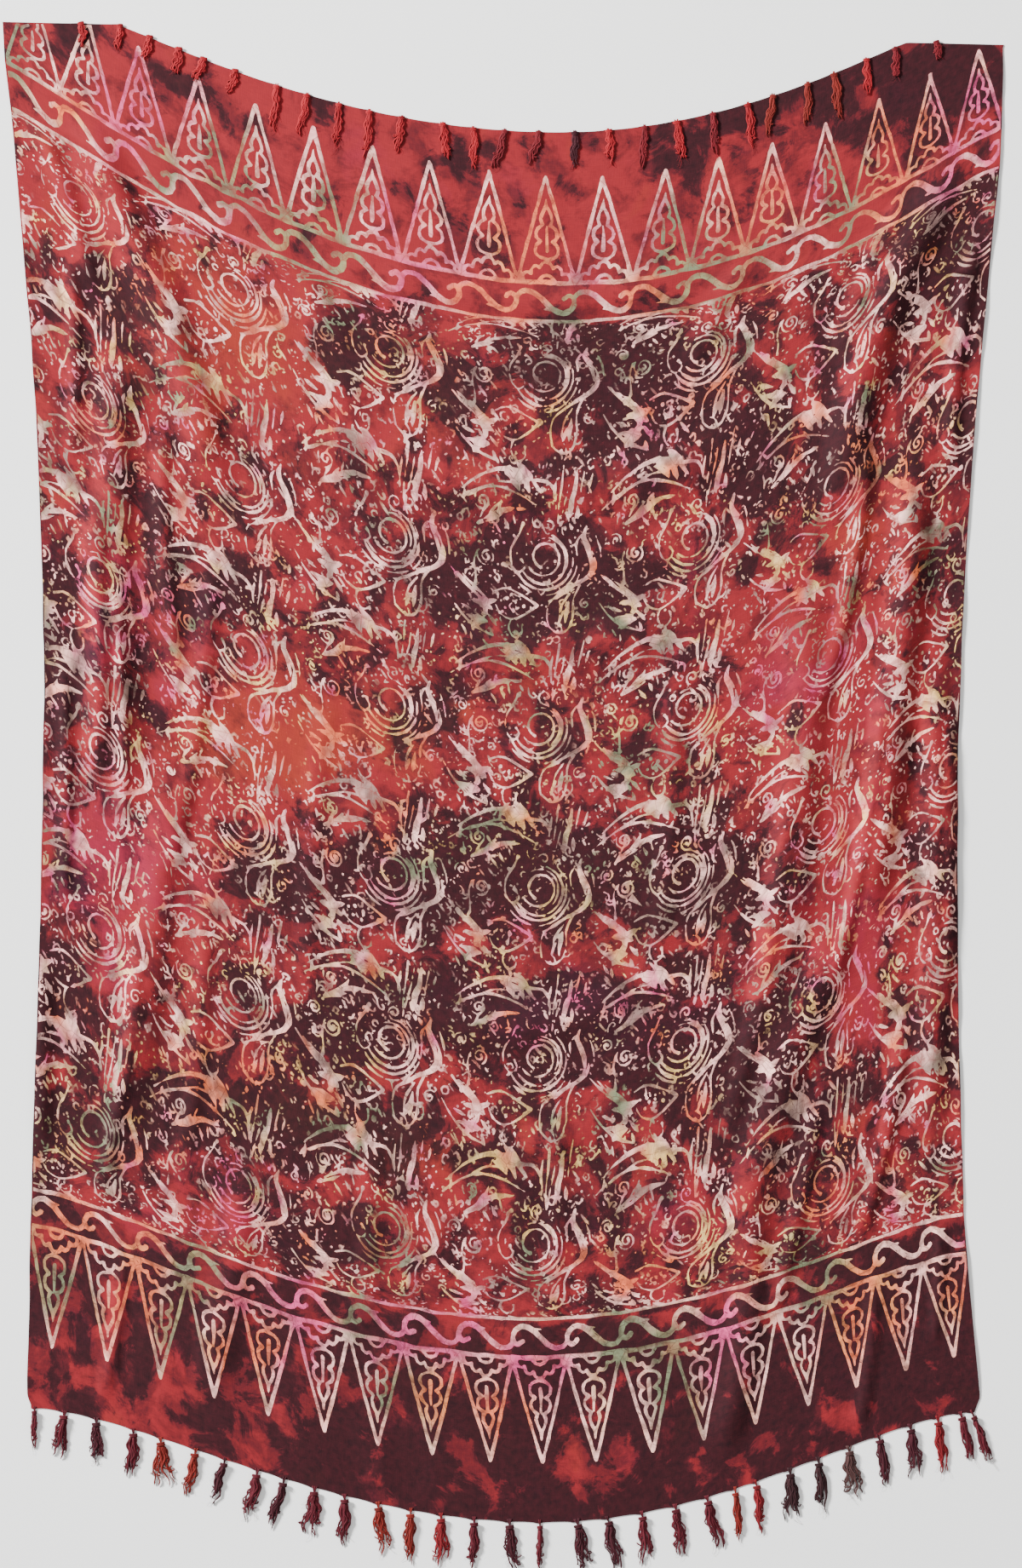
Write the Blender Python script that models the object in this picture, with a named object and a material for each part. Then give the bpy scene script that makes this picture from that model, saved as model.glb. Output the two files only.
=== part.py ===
"""Batik sarong spread out flat: one rayon panel with a knotted fringe along both short edges.

The panel lies in the XY plane with its length along Y. Its top edge sags between the two
corners that it was hung by, its bottom edge bows down, and soft folds rise from the flat cloth.
The warp ends are knotted into tassels: the bottom ones lie on the ground beyond the edge, and
the top ones are turned over onto the face of the panel. All sizes are in metres, +Z up.
"""

import math
from collections import namedtuple

import bpy

# Cloth
WALL = 0.0012  # thickness of the cloth wall
SEAM_GAP = 0.0003  # clearance between pieces that touch
COLUMNS = 34  # facets across the panel

# The panel is ruled between levels, each a thread line that runs from selvedge to selvedge.
# Between its two ends a level sags; lowest is the share of the width where it hangs lowest,
# reach the share of each side that sags, roundness the power of the sag's formula, and rows
# the number of facet rows from this level up to the next.
Level = namedtuple("Level", "name left_x left_y right_x right_y sag lowest reach roundness rows")
LEVELS = (
    Level("bottom_edge", -0.5443, -0.7020, 0.5400, -0.7066, 0.1290, 0.54, 1.00, 1.64, 1),
    Level("fringe_line", -0.5492, -0.6880, 0.5462, -0.6900, 0.1290, 0.54, 1.00, 1.64, 5),
    Level("lower_base", -0.5450, -0.4920, 0.5316, -0.5250, 0.1350, 0.52, 1.00, 1.45, 1),
    Level("lower_line", -0.5440, -0.4500, 0.5277, -0.4790, 0.1340, 0.52, 1.00, 1.40, 8),
    Level("lower_field", -0.5345, -0.1400, 0.5210, -0.1780, 0.1520, 0.52, 1.00, 1.35, 8),
    Level("waist", -0.5300, 0.1690, 0.5235, 0.1220, 0.1710, 0.52, 1.00, 1.30, 8),
    Level("upper_field", -0.5415, 0.4790, 0.5410, 0.4230, 0.1900, 0.53, 1.00, 1.20, 9),
    Level("upper_line", -0.5680, 0.7890, 0.5690, 0.7230, 0.2080, 0.53, 1.00, 1.15, 1),
    Level("upper_base", -0.5746, 0.8450, 0.5720, 0.7690, 0.2146, 0.53, 1.00, 1.15, 5),
    Level("top_edge", -0.5766, 0.8895, 0.5735, 0.8631, 0.1125, 0.54, 0.79, 1.09, 0),
)
FIELD = (3, 7)  # the levels between which the panel follows one smooth curve

# Soft folds: each is a ridge from one point to another, bowed sideways in the middle.
Fold = namedtuple("Fold", "name from_x from_y to_x to_y bow height half_width")
FOLDS = (
    Fold("left_shoulder", -0.505, 0.800, -0.325, 0.330, 0.020, 0.0100, 0.036),
    Fold("left_drape", -0.440, 0.560, -0.418, -0.060, -0.018, 0.0080, 0.032),
    Fold("left_pleat", -0.476, 0.360, -0.466, 0.000, 0.004, 0.0110, 0.022),
    Fold("left_low", -0.385, 0.080, -0.455, -0.430, 0.016, 0.0070, 0.034),
    Fold("left_rolled_edge", -0.530, -0.180, -0.534, -0.420, 0.000, 0.0060, 0.020),
    Fold("right_shoulder", 0.525, 0.735, 0.385, 0.300, -0.030, 0.0110, 0.038),
    Fold("right_drape", 0.472, 0.430, 0.408, -0.180, 0.012, 0.0110, 0.032),
    Fold("right_inner", 0.350, 0.260, 0.292, -0.330, 0.014, 0.0080, 0.036),
    Fold("right_outer", 0.494, 0.220, 0.486, -0.430, 0.006, 0.0080, 0.026),
    Fold("right_low", 0.400, -0.130, 0.268, -0.560, -0.020, 0.0080, 0.036),
    Fold("lower_right", 0.286, -0.470, 0.246, -0.770, 0.010, 0.0070, 0.030),
    Fold("lower_left", -0.300, -0.420, -0.345, -0.700, 0.008, 0.0050, 0.034),
    Fold("swag_high", -0.300, 0.470, 0.330, 0.440, -0.105, 0.0045, 0.044),
    Fold("swag_middle", -0.285, 0.290, 0.270, 0.250, -0.110, 0.0040, 0.044),
    Fold("swag_low", -0.250, -0.180, 0.200, -0.200, -0.080, 0.0035, 0.040),
)
FOLD_TAPER = 0.22  # share of a fold's length over which each end dies away
BOW_STEPS = 24  # stretches in which the distance to a bowed fold is worked out

# Tassels: x is where one leaves the edge, lean how far its tip lies to the right of that.
Tassel = namedtuple("Tassel", "x lean length width")
BOTTOM_TASSELS = (
    Tassel(-0.5400, -0.001, 0.047, 0.0060),
    Tassel(-0.5055, -0.008, 0.052, 0.0140),
    Tassel(-0.4690, 0.001, 0.051, 0.0130),
    Tassel(-0.4260, -0.003, 0.053, 0.0140),
    Tassel(-0.3950, 0.003, 0.053, 0.0170),
    Tassel(-0.3550, -0.009, 0.055, 0.0120),
    Tassel(-0.3210, -0.016, 0.054, 0.0105),
    Tassel(-0.2840, -0.011, 0.059, 0.0145),
    Tassel(-0.2530, -0.017, 0.061, 0.0120),
    Tassel(-0.2180, -0.006, 0.056, 0.0170),
    Tassel(-0.1835, -0.002, 0.056, 0.0140),
    Tassel(-0.1455, 0.008, 0.058, 0.0150),
    Tassel(-0.1080, -0.002, 0.061, 0.0125),
    Tassel(-0.0730, 0.001, 0.057, 0.0150),
    Tassel(-0.0350, -0.001, 0.059, 0.0115),
    Tassel(0.0055, 0.004, 0.060, 0.0145),
    Tassel(0.0405, 0.000, 0.060, 0.0070),
    Tassel(0.0835, 0.011, 0.059, 0.0160),
    Tassel(0.1190, 0.010, 0.058, 0.0150),
    Tassel(0.1580, 0.006, 0.059, 0.0125),
    Tassel(0.1960, 0.009, 0.057, 0.0130),
    Tassel(0.2325, 0.014, 0.059, 0.0140),
    Tassel(0.2645, 0.007, 0.061, 0.0090),
    Tassel(0.2890, 0.007, 0.060, 0.0105),
    Tassel(0.3280, 0.003, 0.060, 0.0155),
    Tassel(0.3605, 0.006, 0.061, 0.0125),
    Tassel(0.3955, 0.007, 0.058, 0.0165),
    Tassel(0.4300, 0.010, 0.058, 0.0120),
    Tassel(0.4660, 0.008, 0.058, 0.0140),
    Tassel(0.4975, 0.008, 0.064, 0.0120),
    Tassel(0.5240, 0.014, 0.059, 0.0110),
    Tassel(0.5370, 0.024, 0.069, 0.0080),
)
TOP_TASSELS = (
    Tassel(-0.4870, 0.005, 0.030, 0.0085),
    Tassel(-0.4415, -0.002, 0.032, 0.0085),
    Tassel(-0.4070, -0.006, 0.030, 0.0100),
    Tassel(-0.3740, -0.003, 0.032, 0.0105),
    Tassel(-0.3445, -0.011, 0.032, 0.0105),
    Tassel(-0.3085, -0.007, 0.030, 0.0090),
    Tassel(-0.2615, -0.004, 0.057, 0.0085),
    Tassel(-0.2265, -0.008, 0.050, 0.0090),
    Tassel(-0.1900, -0.003, 0.056, 0.0085),
    Tassel(-0.1550, -0.003, 0.058, 0.0090),
    Tassel(-0.1180, -0.005, 0.044, 0.0090),
    Tassel(-0.0720, 0.007, 0.044, 0.0095),
    Tassel(-0.0355, 0.001, 0.052, 0.0085),
    Tassel(0.0015, -0.012, 0.048, 0.0090),
    Tassel(0.0405, -0.010, 0.042, 0.0085),
    Tassel(0.0805, 0.000, 0.048, 0.0085),
    Tassel(0.1195, 0.004, 0.044, 0.0095),
    Tassel(0.1610, -0.002, 0.052, 0.0085),
    Tassel(0.1970, 0.009, 0.054, 0.0105),
    Tassel(0.2390, 0.004, 0.050, 0.0085),
    Tassel(0.2785, 0.008, 0.054, 0.0090),
    Tassel(0.3090, -0.007, 0.050, 0.0085),
    Tassel(0.3480, 0.001, 0.056, 0.0085),
    Tassel(0.3775, 0.009, 0.056, 0.0100),
    Tassel(0.4155, 0.003, 0.044, 0.0090),
    Tassel(0.4485, 0.003, 0.044, 0.0085),
    Tassel(0.4955, 0.005, 0.022, 0.0080),
)
BOTTOM_THICKNESS = 0.0075  # of a tassel that lies on the ground
TOP_THICKNESS = 0.0055  # of a tassel that lies on the panel
TOP_KNOT_PROUD = 0.0030  # how far a top knot stands out past the edge

# A tassel's rings: along is the share of its length, wide and thick the shares of its own sizes.
Ring = namedtuple("Ring", "name along wide thick")
TASSEL_RINGS = (
    Ring("neck", 0.00, 0.45, 0.55),
    Ring("knot", 0.09, 0.72, 1.00),
    Ring("waist", 0.20, 0.55, 0.75),
    Ring("belly", 0.62, 1.00, 0.85),
    Ring("end", 1.00, 0.50, 0.45),
)
# One ring's outline, flat where it rests: shares of its width and of its thickness.
RING_OUTLINE = ((-0.50, 0.00), (0.50, 0.00), (0.50, 0.55), (0.00, 1.00), (-0.50, 0.55))

# Colour, roughness and metallic value of each kind of piece
Finish = namedtuple("Finish", "colour roughness metallic")
CLOTH_FINISH = Finish((0.42, 0.065, 0.065), 0.72, 0.0)
BOTTOM_FINISH = Finish((0.13, 0.012, 0.020), 0.80, 0.0)
TOP_FINISH = Finish((0.40, 0.030, 0.028), 0.78, 0.0)


def level_point(level, share):
    """The point of a level at a share of its width."""
    x = level.left_x + (level.right_x - level.left_x) * share
    chord = level.left_y + (level.right_y - level.left_y) * share
    side = level.lowest if share < level.lowest else 1.0 - level.lowest
    distance = min(abs(share - level.lowest) / (side * level.reach), 1.0)
    return x, chord - level.sag * (1.0 - distance**2) ** level.roundness


def panel_point(share, rank):
    """The point at a share of the width and at a rank, which counts levels upwards."""
    below = min(int(rank), len(LEVELS) - 2)
    part = rank - below
    low, high = level_point(LEVELS[below], share), level_point(LEVELS[below + 1], share)
    if not FIELD[0] <= below < FIELD[1]:
        return tuple(a + (b - a) * part for a, b in zip(low, high))
    before = level_point(LEVELS[max(below - 1, FIELD[0])], share)
    after = level_point(LEVELS[min(below + 2, FIELD[1])], share)
    return tuple(smooth_step(*values, part) for values in zip(before, low, high, after))


def smooth_step(before, low, high, after, part):
    """Catmull-Rom curve through low and high, with the slopes that their neighbours give."""
    slope_low, slope_high = (high - before) / 2.0, (after - low) / 2.0
    bend_low = 2.0 * (low - high) + slope_low + slope_high
    bend_high = 3.0 * (high - low) - 2.0 * slope_low - slope_high
    return ((bend_low * part + bend_high) * part + slope_low) * part + low


def fold_line(fold):
    """The points along a fold's crest, bowed as a parabola."""
    run_x, run_y = fold.to_x - fold.from_x, fold.to_y - fold.from_y
    length = math.hypot(run_x, run_y)
    points = []
    for step in range(BOW_STEPS + 1):
        along = step / BOW_STEPS
        aside = fold.bow * 4.0 * along * (1.0 - along)
        x = fold.from_x + run_x * along - run_y / length * aside
        y = fold.from_y + run_y * along + run_x / length * aside
        points.append((x, y))
    return points


def nearest_on(line, x, y):
    """How far (x, y) is from a line of points, and at what share of the line."""
    best = (math.inf, 0.0)
    for index in range(len(line) - 1):
        (ax, ay), (bx, by) = line[index], line[index + 1]
        run_x, run_y = bx - ax, by - ay
        part = ((x - ax) * run_x + (y - ay) * run_y) / (run_x**2 + run_y**2)
        part = max(0.0, min(1.0, part))
        distance = math.hypot(x - ax - run_x * part, y - ay - run_y * part)
        best = min(best, (distance, (index + part) / (len(line) - 1)))
    return best


def rise(x, y, lines):
    """How far the cloth is lifted off the ground at (x, y) by its folds."""
    height = 0.0
    for fold, line in zip(FOLDS, lines):
        distance, along = nearest_on(line, x, y)
        if distance >= fold.half_width:
            continue
        end = min(along, 1.0 - along) / FOLD_TAPER
        taper = math.sin(math.pi / 2.0 * min(end, 1.0)) ** 2
        height += fold.height * taper * math.cos(math.pi / 2.0 * distance / fold.half_width) ** 2
    return height


def panel_rows():
    """The rank of each row of points, from the bottom edge to the top edge."""
    ranks = []
    for index, level in enumerate(LEVELS):
        ranks += [index + step / level.rows for step in range(level.rows)]
    return ranks + [len(LEVELS) - 1.0]


def panel_geometry():
    """Vertices and outward triangles of the panel: an upper and a lower skin, and a rim."""
    lines = [fold_line(fold) for fold in FOLDS]
    ranks = panel_rows()
    lower = []
    for rank in ranks:
        for column in range(COLUMNS + 1):
            x, y = panel_point(column / COLUMNS, rank)
            lower.append((x, y, rise(x, y, lines)))
    upper = [(x, y, z + WALL) for x, y, z in lower]
    row_length, offset = COLUMNS + 1, len(lower)
    faces = []
    for row in range(len(ranks) - 1):
        for column in range(COLUMNS):
            a = row * row_length + column
            b, c, d = a + 1, a + 1 + row_length, a + row_length
            faces += [(a + offset, b + offset, c + offset), (a + offset, c + offset, d + offset)]
            faces += [(a, c, b), (a, d, c)]
    around = list(range(row_length))
    around += [row * row_length + COLUMNS for row in range(1, len(ranks))]
    around += [(len(ranks) - 1) * row_length + column for column in range(COLUMNS - 1, -1, -1)]
    around += [row * row_length for row in range(len(ranks) - 2, 0, -1)]
    for here, there in zip(around, around[1:] + around[:1]):
        faces += [(here, there, there + offset), (here, there + offset, here + offset)]
    return lower + upper, faces


def edge_height(line, from_x, to_x, pick):
    """The lowest or highest y, as pick says, that an edge's line of points has in a stretch of x."""
    found = []
    for (ax, ay), (bx, by) in zip(line, line[1:]):
        low, high = max(from_x, ax), min(to_x, bx)
        if low <= high:
            found += [ay + (by - ay) * (x - ax) / (bx - ax) for x in (low, high)]
    return pick(found)


def tassel_geometry(tassel, start_y, ground, thickness):
    """Vertices and outward triangles of one tassel that runs down from start_y on its ground."""
    drop = math.sqrt(tassel.length**2 - tassel.lean**2)
    points = []
    for ring in TASSEL_RINGS:
        x = tassel.x + tassel.lean * ring.along**1.3
        y = start_y - drop * ring.along
        for across, up in RING_OUTLINE:
            width, height = tassel.width * ring.wide, thickness * ring.thick
            points.append((x + across * width, y, ground + up * height))
    sides = len(RING_OUTLINE)
    last = (len(TASSEL_RINGS) - 1) * sides
    faces = []
    for ring in range(len(TASSEL_RINGS) - 1):
        for side in range(sides):
            a, b = ring * sides + side, ring * sides + (side + 1) % sides
            faces += [(a, b + sides, a + sides), (a, b, b + sides)]
    for side in range(1, sides - 1):
        faces += [(0, side + 1, side), (last, last + side, last + side + 1)]
    return points, faces


def material(name, finish):
    """A Principled BSDF material with one colour, roughness and metallic value."""
    made = bpy.data.materials.new(name)
    made.use_nodes = True
    shader = made.node_tree.nodes["Principled BSDF"]
    shader.inputs["Base Color"].default_value = (*finish.colour, 1.0)
    shader.inputs["Roughness"].default_value = finish.roughness
    shader.inputs["Metallic"].default_value = finish.metallic
    return made


def add_piece(name, geometry, shift, finish):
    """One named object from its geometry, moved by shift in x and y."""
    points, faces = geometry
    mesh = bpy.data.meshes.new(name)
    mesh.from_pydata([(x + shift[0], y + shift[1], z) for x, y, z in points], [], faces)
    mesh.update()
    mesh.shade_smooth()
    mesh.materials.append(material(name, finish))
    piece = bpy.data.objects.new(name, mesh)
    bpy.context.scene.collection.objects.link(piece)
    return piece


def fringe_pieces():
    """Name, geometry and finish of every tassel."""
    bottom = [level_point(LEVELS[0], column / COLUMNS) for column in range(COLUMNS + 1)]
    top = [level_point(LEVELS[-1], column / COLUMNS) for column in range(COLUMNS + 1)]
    neck = TASSEL_RINGS[0].wide
    pieces = []
    for number, tassel in enumerate(BOTTOM_TASSELS, 1):
        half = tassel.width * neck / 2.0
        start = edge_height(bottom, tassel.x - half, tassel.x + half, min) - SEAM_GAP
        geometry = tassel_geometry(tassel, start, 0.0, BOTTOM_THICKNESS)
        pieces.append((f"tassel_bottom_{number:02d}", geometry, BOTTOM_FINISH))
    for number, tassel in enumerate(TOP_TASSELS, 1):
        half = tassel.width * neck / 2.0
        start = edge_height(top, tassel.x - half, tassel.x + half, max) + TOP_KNOT_PROUD
        geometry = tassel_geometry(tassel, start, WALL + SEAM_GAP, TOP_THICKNESS)
        pieces.append((f"tassel_top_{number:02d}", geometry, TOP_FINISH))
    return pieces


def main():
    for old in list(bpy.data.objects):
        bpy.data.objects.remove(old, do_unlink=True)
    pieces = [("cloth_panel", panel_geometry(), CLOTH_FINISH)] + fringe_pieces()
    xs = [point[0] for _, (points, _), _ in pieces for point in points]
    ys = [point[1] for _, (points, _), _ in pieces for point in points]
    shift = (-(min(xs) + max(xs)) / 2.0, -(min(ys) + max(ys)) / 2.0)
    for name, geometry, finish in pieces:
        add_piece(name, geometry, shift, finish)


main()
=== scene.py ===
"""The looks of the batik sarong: dyed and waxed cloth, its folds, and the knotted fringe.

Positions on the flat cloth are thread positions in millimetres: across, from the left selvedge,
and along, from the bottom edge. Positions on the spread cloth are in metres, as in the frame.
"""

import math
import random
from collections import namedtuple

import bpy
import numpy as np
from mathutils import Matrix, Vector
from mathutils.geometry import delaunay_2d_cdt


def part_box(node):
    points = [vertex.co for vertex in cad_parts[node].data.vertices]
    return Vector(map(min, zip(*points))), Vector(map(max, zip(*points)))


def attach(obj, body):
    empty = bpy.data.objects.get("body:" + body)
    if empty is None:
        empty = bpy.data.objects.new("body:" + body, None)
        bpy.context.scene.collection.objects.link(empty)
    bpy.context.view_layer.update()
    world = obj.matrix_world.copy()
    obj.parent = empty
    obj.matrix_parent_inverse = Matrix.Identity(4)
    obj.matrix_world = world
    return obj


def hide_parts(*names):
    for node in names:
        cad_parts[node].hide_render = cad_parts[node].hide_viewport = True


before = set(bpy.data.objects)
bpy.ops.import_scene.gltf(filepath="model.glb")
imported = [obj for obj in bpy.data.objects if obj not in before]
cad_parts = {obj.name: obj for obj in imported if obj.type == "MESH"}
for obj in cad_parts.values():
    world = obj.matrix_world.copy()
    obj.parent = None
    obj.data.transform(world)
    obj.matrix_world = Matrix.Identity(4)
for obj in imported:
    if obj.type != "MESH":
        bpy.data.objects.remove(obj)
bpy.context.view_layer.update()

# ---- The cloth's sizes

CUT_WIDTH, CUT_LENGTH = 1.17, 1.60  # metres, before it was hung
WIDTH = CUT_WIDTH * 1000.0
SHELL = 0.0007  # thickness of the shell that shows
LIFT = 0.00015  # of its underside off the ground


def table(kind, *rows):
    """Rows of numbers as named tuples of one kind."""
    return tuple(kind(*row) for row in rows)


# The levels that the CAD panel is ruled between, with the thread position of each.
Level = namedtuple("Level", "name thread left_x left_y right_x right_y sag lowest reach roundness")
LEVELS = table(
    Level,
    ("bottom_edge", 0.0, -0.5443, -0.702, 0.54, -0.7066, 0.129, 0.54, 1.0, 1.64),
    ("fringe_line", 14.0, -0.5492, -0.688, 0.5462, -0.69, 0.129, 0.54, 1.0, 1.64),
    ("lower_base", 190.0, -0.545, -0.492, 0.5316, -0.525, 0.135, 0.52, 1.0, 1.45),
    ("lower_line", 235.0, -0.544, -0.45, 0.5277, -0.479, 0.134, 0.52, 1.0, 1.4),
    ("lower_field", 521.0, -0.5345, -0.14, 0.521, -0.178, 0.152, 0.52, 1.0, 1.35),
    ("waist", 807.5, -0.53, 0.169, 0.5235, 0.122, 0.171, 0.52, 1.0, 1.3),
    ("upper_field", 1094.0, -0.5415, 0.479, 0.541, 0.423, 0.19, 0.53, 1.0, 1.2),
    ("upper_line", 1380.0, -0.568, 0.789, 0.569, 0.723, 0.208, 0.53, 1.0, 1.15),
    ("upper_base", 1425.0, -0.5746, 0.845, 0.572, 0.769, 0.2146, 0.53, 1.0, 1.15),
    ("top_edge", 1600.0, -0.5766, 0.8895, 0.5735, 0.8631, 0.1125, 0.54, 0.79, 1.09),
)
FIELD = (3, 7)  # the levels between which the panel follows one smooth curve
DRIFT = 0.02  # share of the width by which the threads lie to the right of an even spread
SIDE_SHORTENING = 0.18  # how much shorter the top border looks at its ends than in the middle

LOWER_BASE, LOWER_LINE = LEVELS[2].thread, LEVELS[3].thread
UPPER_LINE, UPPER_BASE = LEVELS[7].thread, LEVELS[8].thread

panel_low, panel_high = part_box("cloth_panel")
SHIFT_X = panel_low[0] - LEVELS[-1].left_x  # from the levels' own centre to the frame's
SHIFT_Y = panel_high[1] - LEVELS[-1].left_y


def level_points(level, share):
    """Points of a level at shares of its width, as two arrays."""
    x = level.left_x + (level.right_x - level.left_x) * share
    chord = level.left_y + (level.right_y - level.left_y) * share
    side = np.where(share < level.lowest, level.lowest, 1.0 - level.lowest)
    distance = np.minimum(np.abs(share - level.lowest) / (side * level.reach), 1.0)
    return x, chord - level.sag * (1.0 - distance**2) ** level.roundness


def share_of(across):
    """The share of the spread width at a thread position across."""
    part = np.clip(np.asarray(across, float) / WIDTH, 0.0, 1.0)
    return part + DRIFT * np.sin(math.pi * part**2)


def top_shortening(share):
    """How much of its thread length the top border shows at a share of the width."""
    return 1.0 - SIDE_SHORTENING * (2.0 * share - 1.0) ** 2


def top_thread(across):
    """The thread position along of the visible top edge."""
    share = share_of(across)
    _, base = level_points(LEVELS[-2], share)
    _, edge = level_points(LEVELS[-1], share)
    return UPPER_BASE + 1000.0 * (edge - base) / top_shortening(share)


def spread(across, along):
    """Where thread positions lie on the spread cloth, in metres."""
    share = share_of(across)
    along = np.asarray(along, float)
    threads = [level.thread for level in LEVELS[:-1]]
    rank = np.interp(along, threads, np.arange(len(threads)))
    top = top_thread(across)
    rank = np.where(along > UPPER_BASE, 8.0 + (along - UPPER_BASE) / (top - UPPER_BASE), rank)
    rank = np.where(along < 0.0, along / LEVELS[1].thread, rank)
    below = np.clip(rank.astype(int), 0, len(LEVELS) - 2)
    part = rank - below
    points = np.array([level_points(level, share) for level in LEVELS])
    index = np.arange(len(share))
    low, high = points[below, :, index], points[below + 1, :, index]
    before = points[np.clip(below - 1, FIELD[0], None), :, index]
    after = points[np.clip(below + 2, None, FIELD[1]), :, index]
    slope_low, slope_high = (high - before) / 2.0, (after - low) / 2.0
    bend_low = 2.0 * (low - high) + slope_low + slope_high
    bend_high = 3.0 * (high - low) - 2.0 * slope_low - slope_high
    t = part[:, None]
    smooth = ((bend_low * t + bend_high) * t + slope_low) * t + low
    inside = ((below >= FIELD[0]) & (below < FIELD[1]))[:, None]
    found = np.where(inside, smooth, low + (high - low) * t)
    return found[:, 0] + SHIFT_X, found[:, 1] + SHIFT_Y


# ---- Noise and curves


def cloud(rows, columns, cell_rows, cell_columns, seed):
    """Smooth noise from -1 to 1 on a grid, in lumps of so many rows and columns."""
    lattice = np.random.default_rng(seed).uniform(
        -1.0, 1.0, (int(rows / cell_rows) + 3, int(columns / cell_columns) + 3)
    )
    down, right = np.arange(rows) / cell_rows, np.arange(columns) / cell_columns
    i, j = down.astype(int), right.astype(int)
    s, t = (down - i)[:, None], (right - j)[None, :]
    s, t = s * s * (3.0 - 2.0 * s), t * t * (3.0 - 2.0 * t)
    low = lattice[np.ix_(i, j)] * (1.0 - t) + lattice[np.ix_(i, j + 1)] * t
    high = lattice[np.ix_(i + 1, j)] * (1.0 - t) + lattice[np.ix_(i + 1, j + 1)] * t
    return low * (1.0 - s) + high * s


def curve(points, per_span=4):
    """A smooth curve through a few points, as more points."""
    made = []
    count = len(points)
    for index in range(count - 1):
        before, low = points[max(index - 1, 0)], points[index]
        high, after = points[index + 1], points[min(index + 2, count - 1)]
        for step in range(per_span):
            t = step / per_span
            made.append(
                tuple(
                    ((2.0 * (b - c) + (c - a) / 2.0 + (d - b) / 2.0) * t
                     + 3.0 * (c - b) - (c - a) - (d - b) / 2.0) * t * t
                    + (c - a) / 2.0 * t + b
                    for a, b, c, d in zip(before, low, high, after)
                )
            )
    return made + [tuple(points[-1])]


# ---- The wax: strokes drawn into a field of distances, which is negative under wax

STEP = 1.0  # millimetres between the field's samples
MARGIN = 8.0  # millimetres that the field reaches past the cloth
FAR = 9.0  # distance where there is no wax near


class Wax:
    def __init__(self):
        columns = int((WIDTH + 2.0 * MARGIN) / STEP) + 1
        rows = int((CUT_LENGTH * 1000.0 + 2.0 * MARGIN) / STEP) + 1
        self.xs = np.arange(columns) * STEP - MARGIN
        self.ys = np.arange(rows) * STEP - MARGIN
        self.field = np.full((rows, columns), FAR, np.float32)

    def segment(self, a, b, from_radius, to_radius, cut):
        """Lays wax along one straight stretch, or takes it away."""
        reach = max(from_radius, to_radius) + 2.5
        left = max(int((min(a[0], b[0]) - reach + MARGIN) / STEP), 0)
        right = int((max(a[0], b[0]) + reach + MARGIN) / STEP) + 2
        bottom = max(int((min(a[1], b[1]) - reach + MARGIN) / STEP), 0)
        top = int((max(a[1], b[1]) + reach + MARGIN) / STEP) + 2
        window = self.field[bottom:top, left:right]
        if right <= 0 or top <= 0 or not window.size:
            return
        x, y = self.xs[None, left:right] - a[0], self.ys[bottom:top, None] - a[1]
        run_x, run_y = b[0] - a[0], b[1] - a[1]
        part = np.clip((x * run_x + y * run_y) / (run_x * run_x + run_y * run_y + 1e-9), 0.0, 1.0)
        distance = np.hypot(x - part * run_x, y - part * run_y)
        distance -= from_radius + part * (to_radius - from_radius)
        if cut:
            np.maximum(window, -distance, out=window)
        else:
            np.minimum(window, distance, out=window)

    def keep_between(self, low, high):
        """Clears the field outside a stretch along the cloth."""
        outside = (self.ys < low) | (self.ys > high)
        self.field[outside] = FAR


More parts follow.
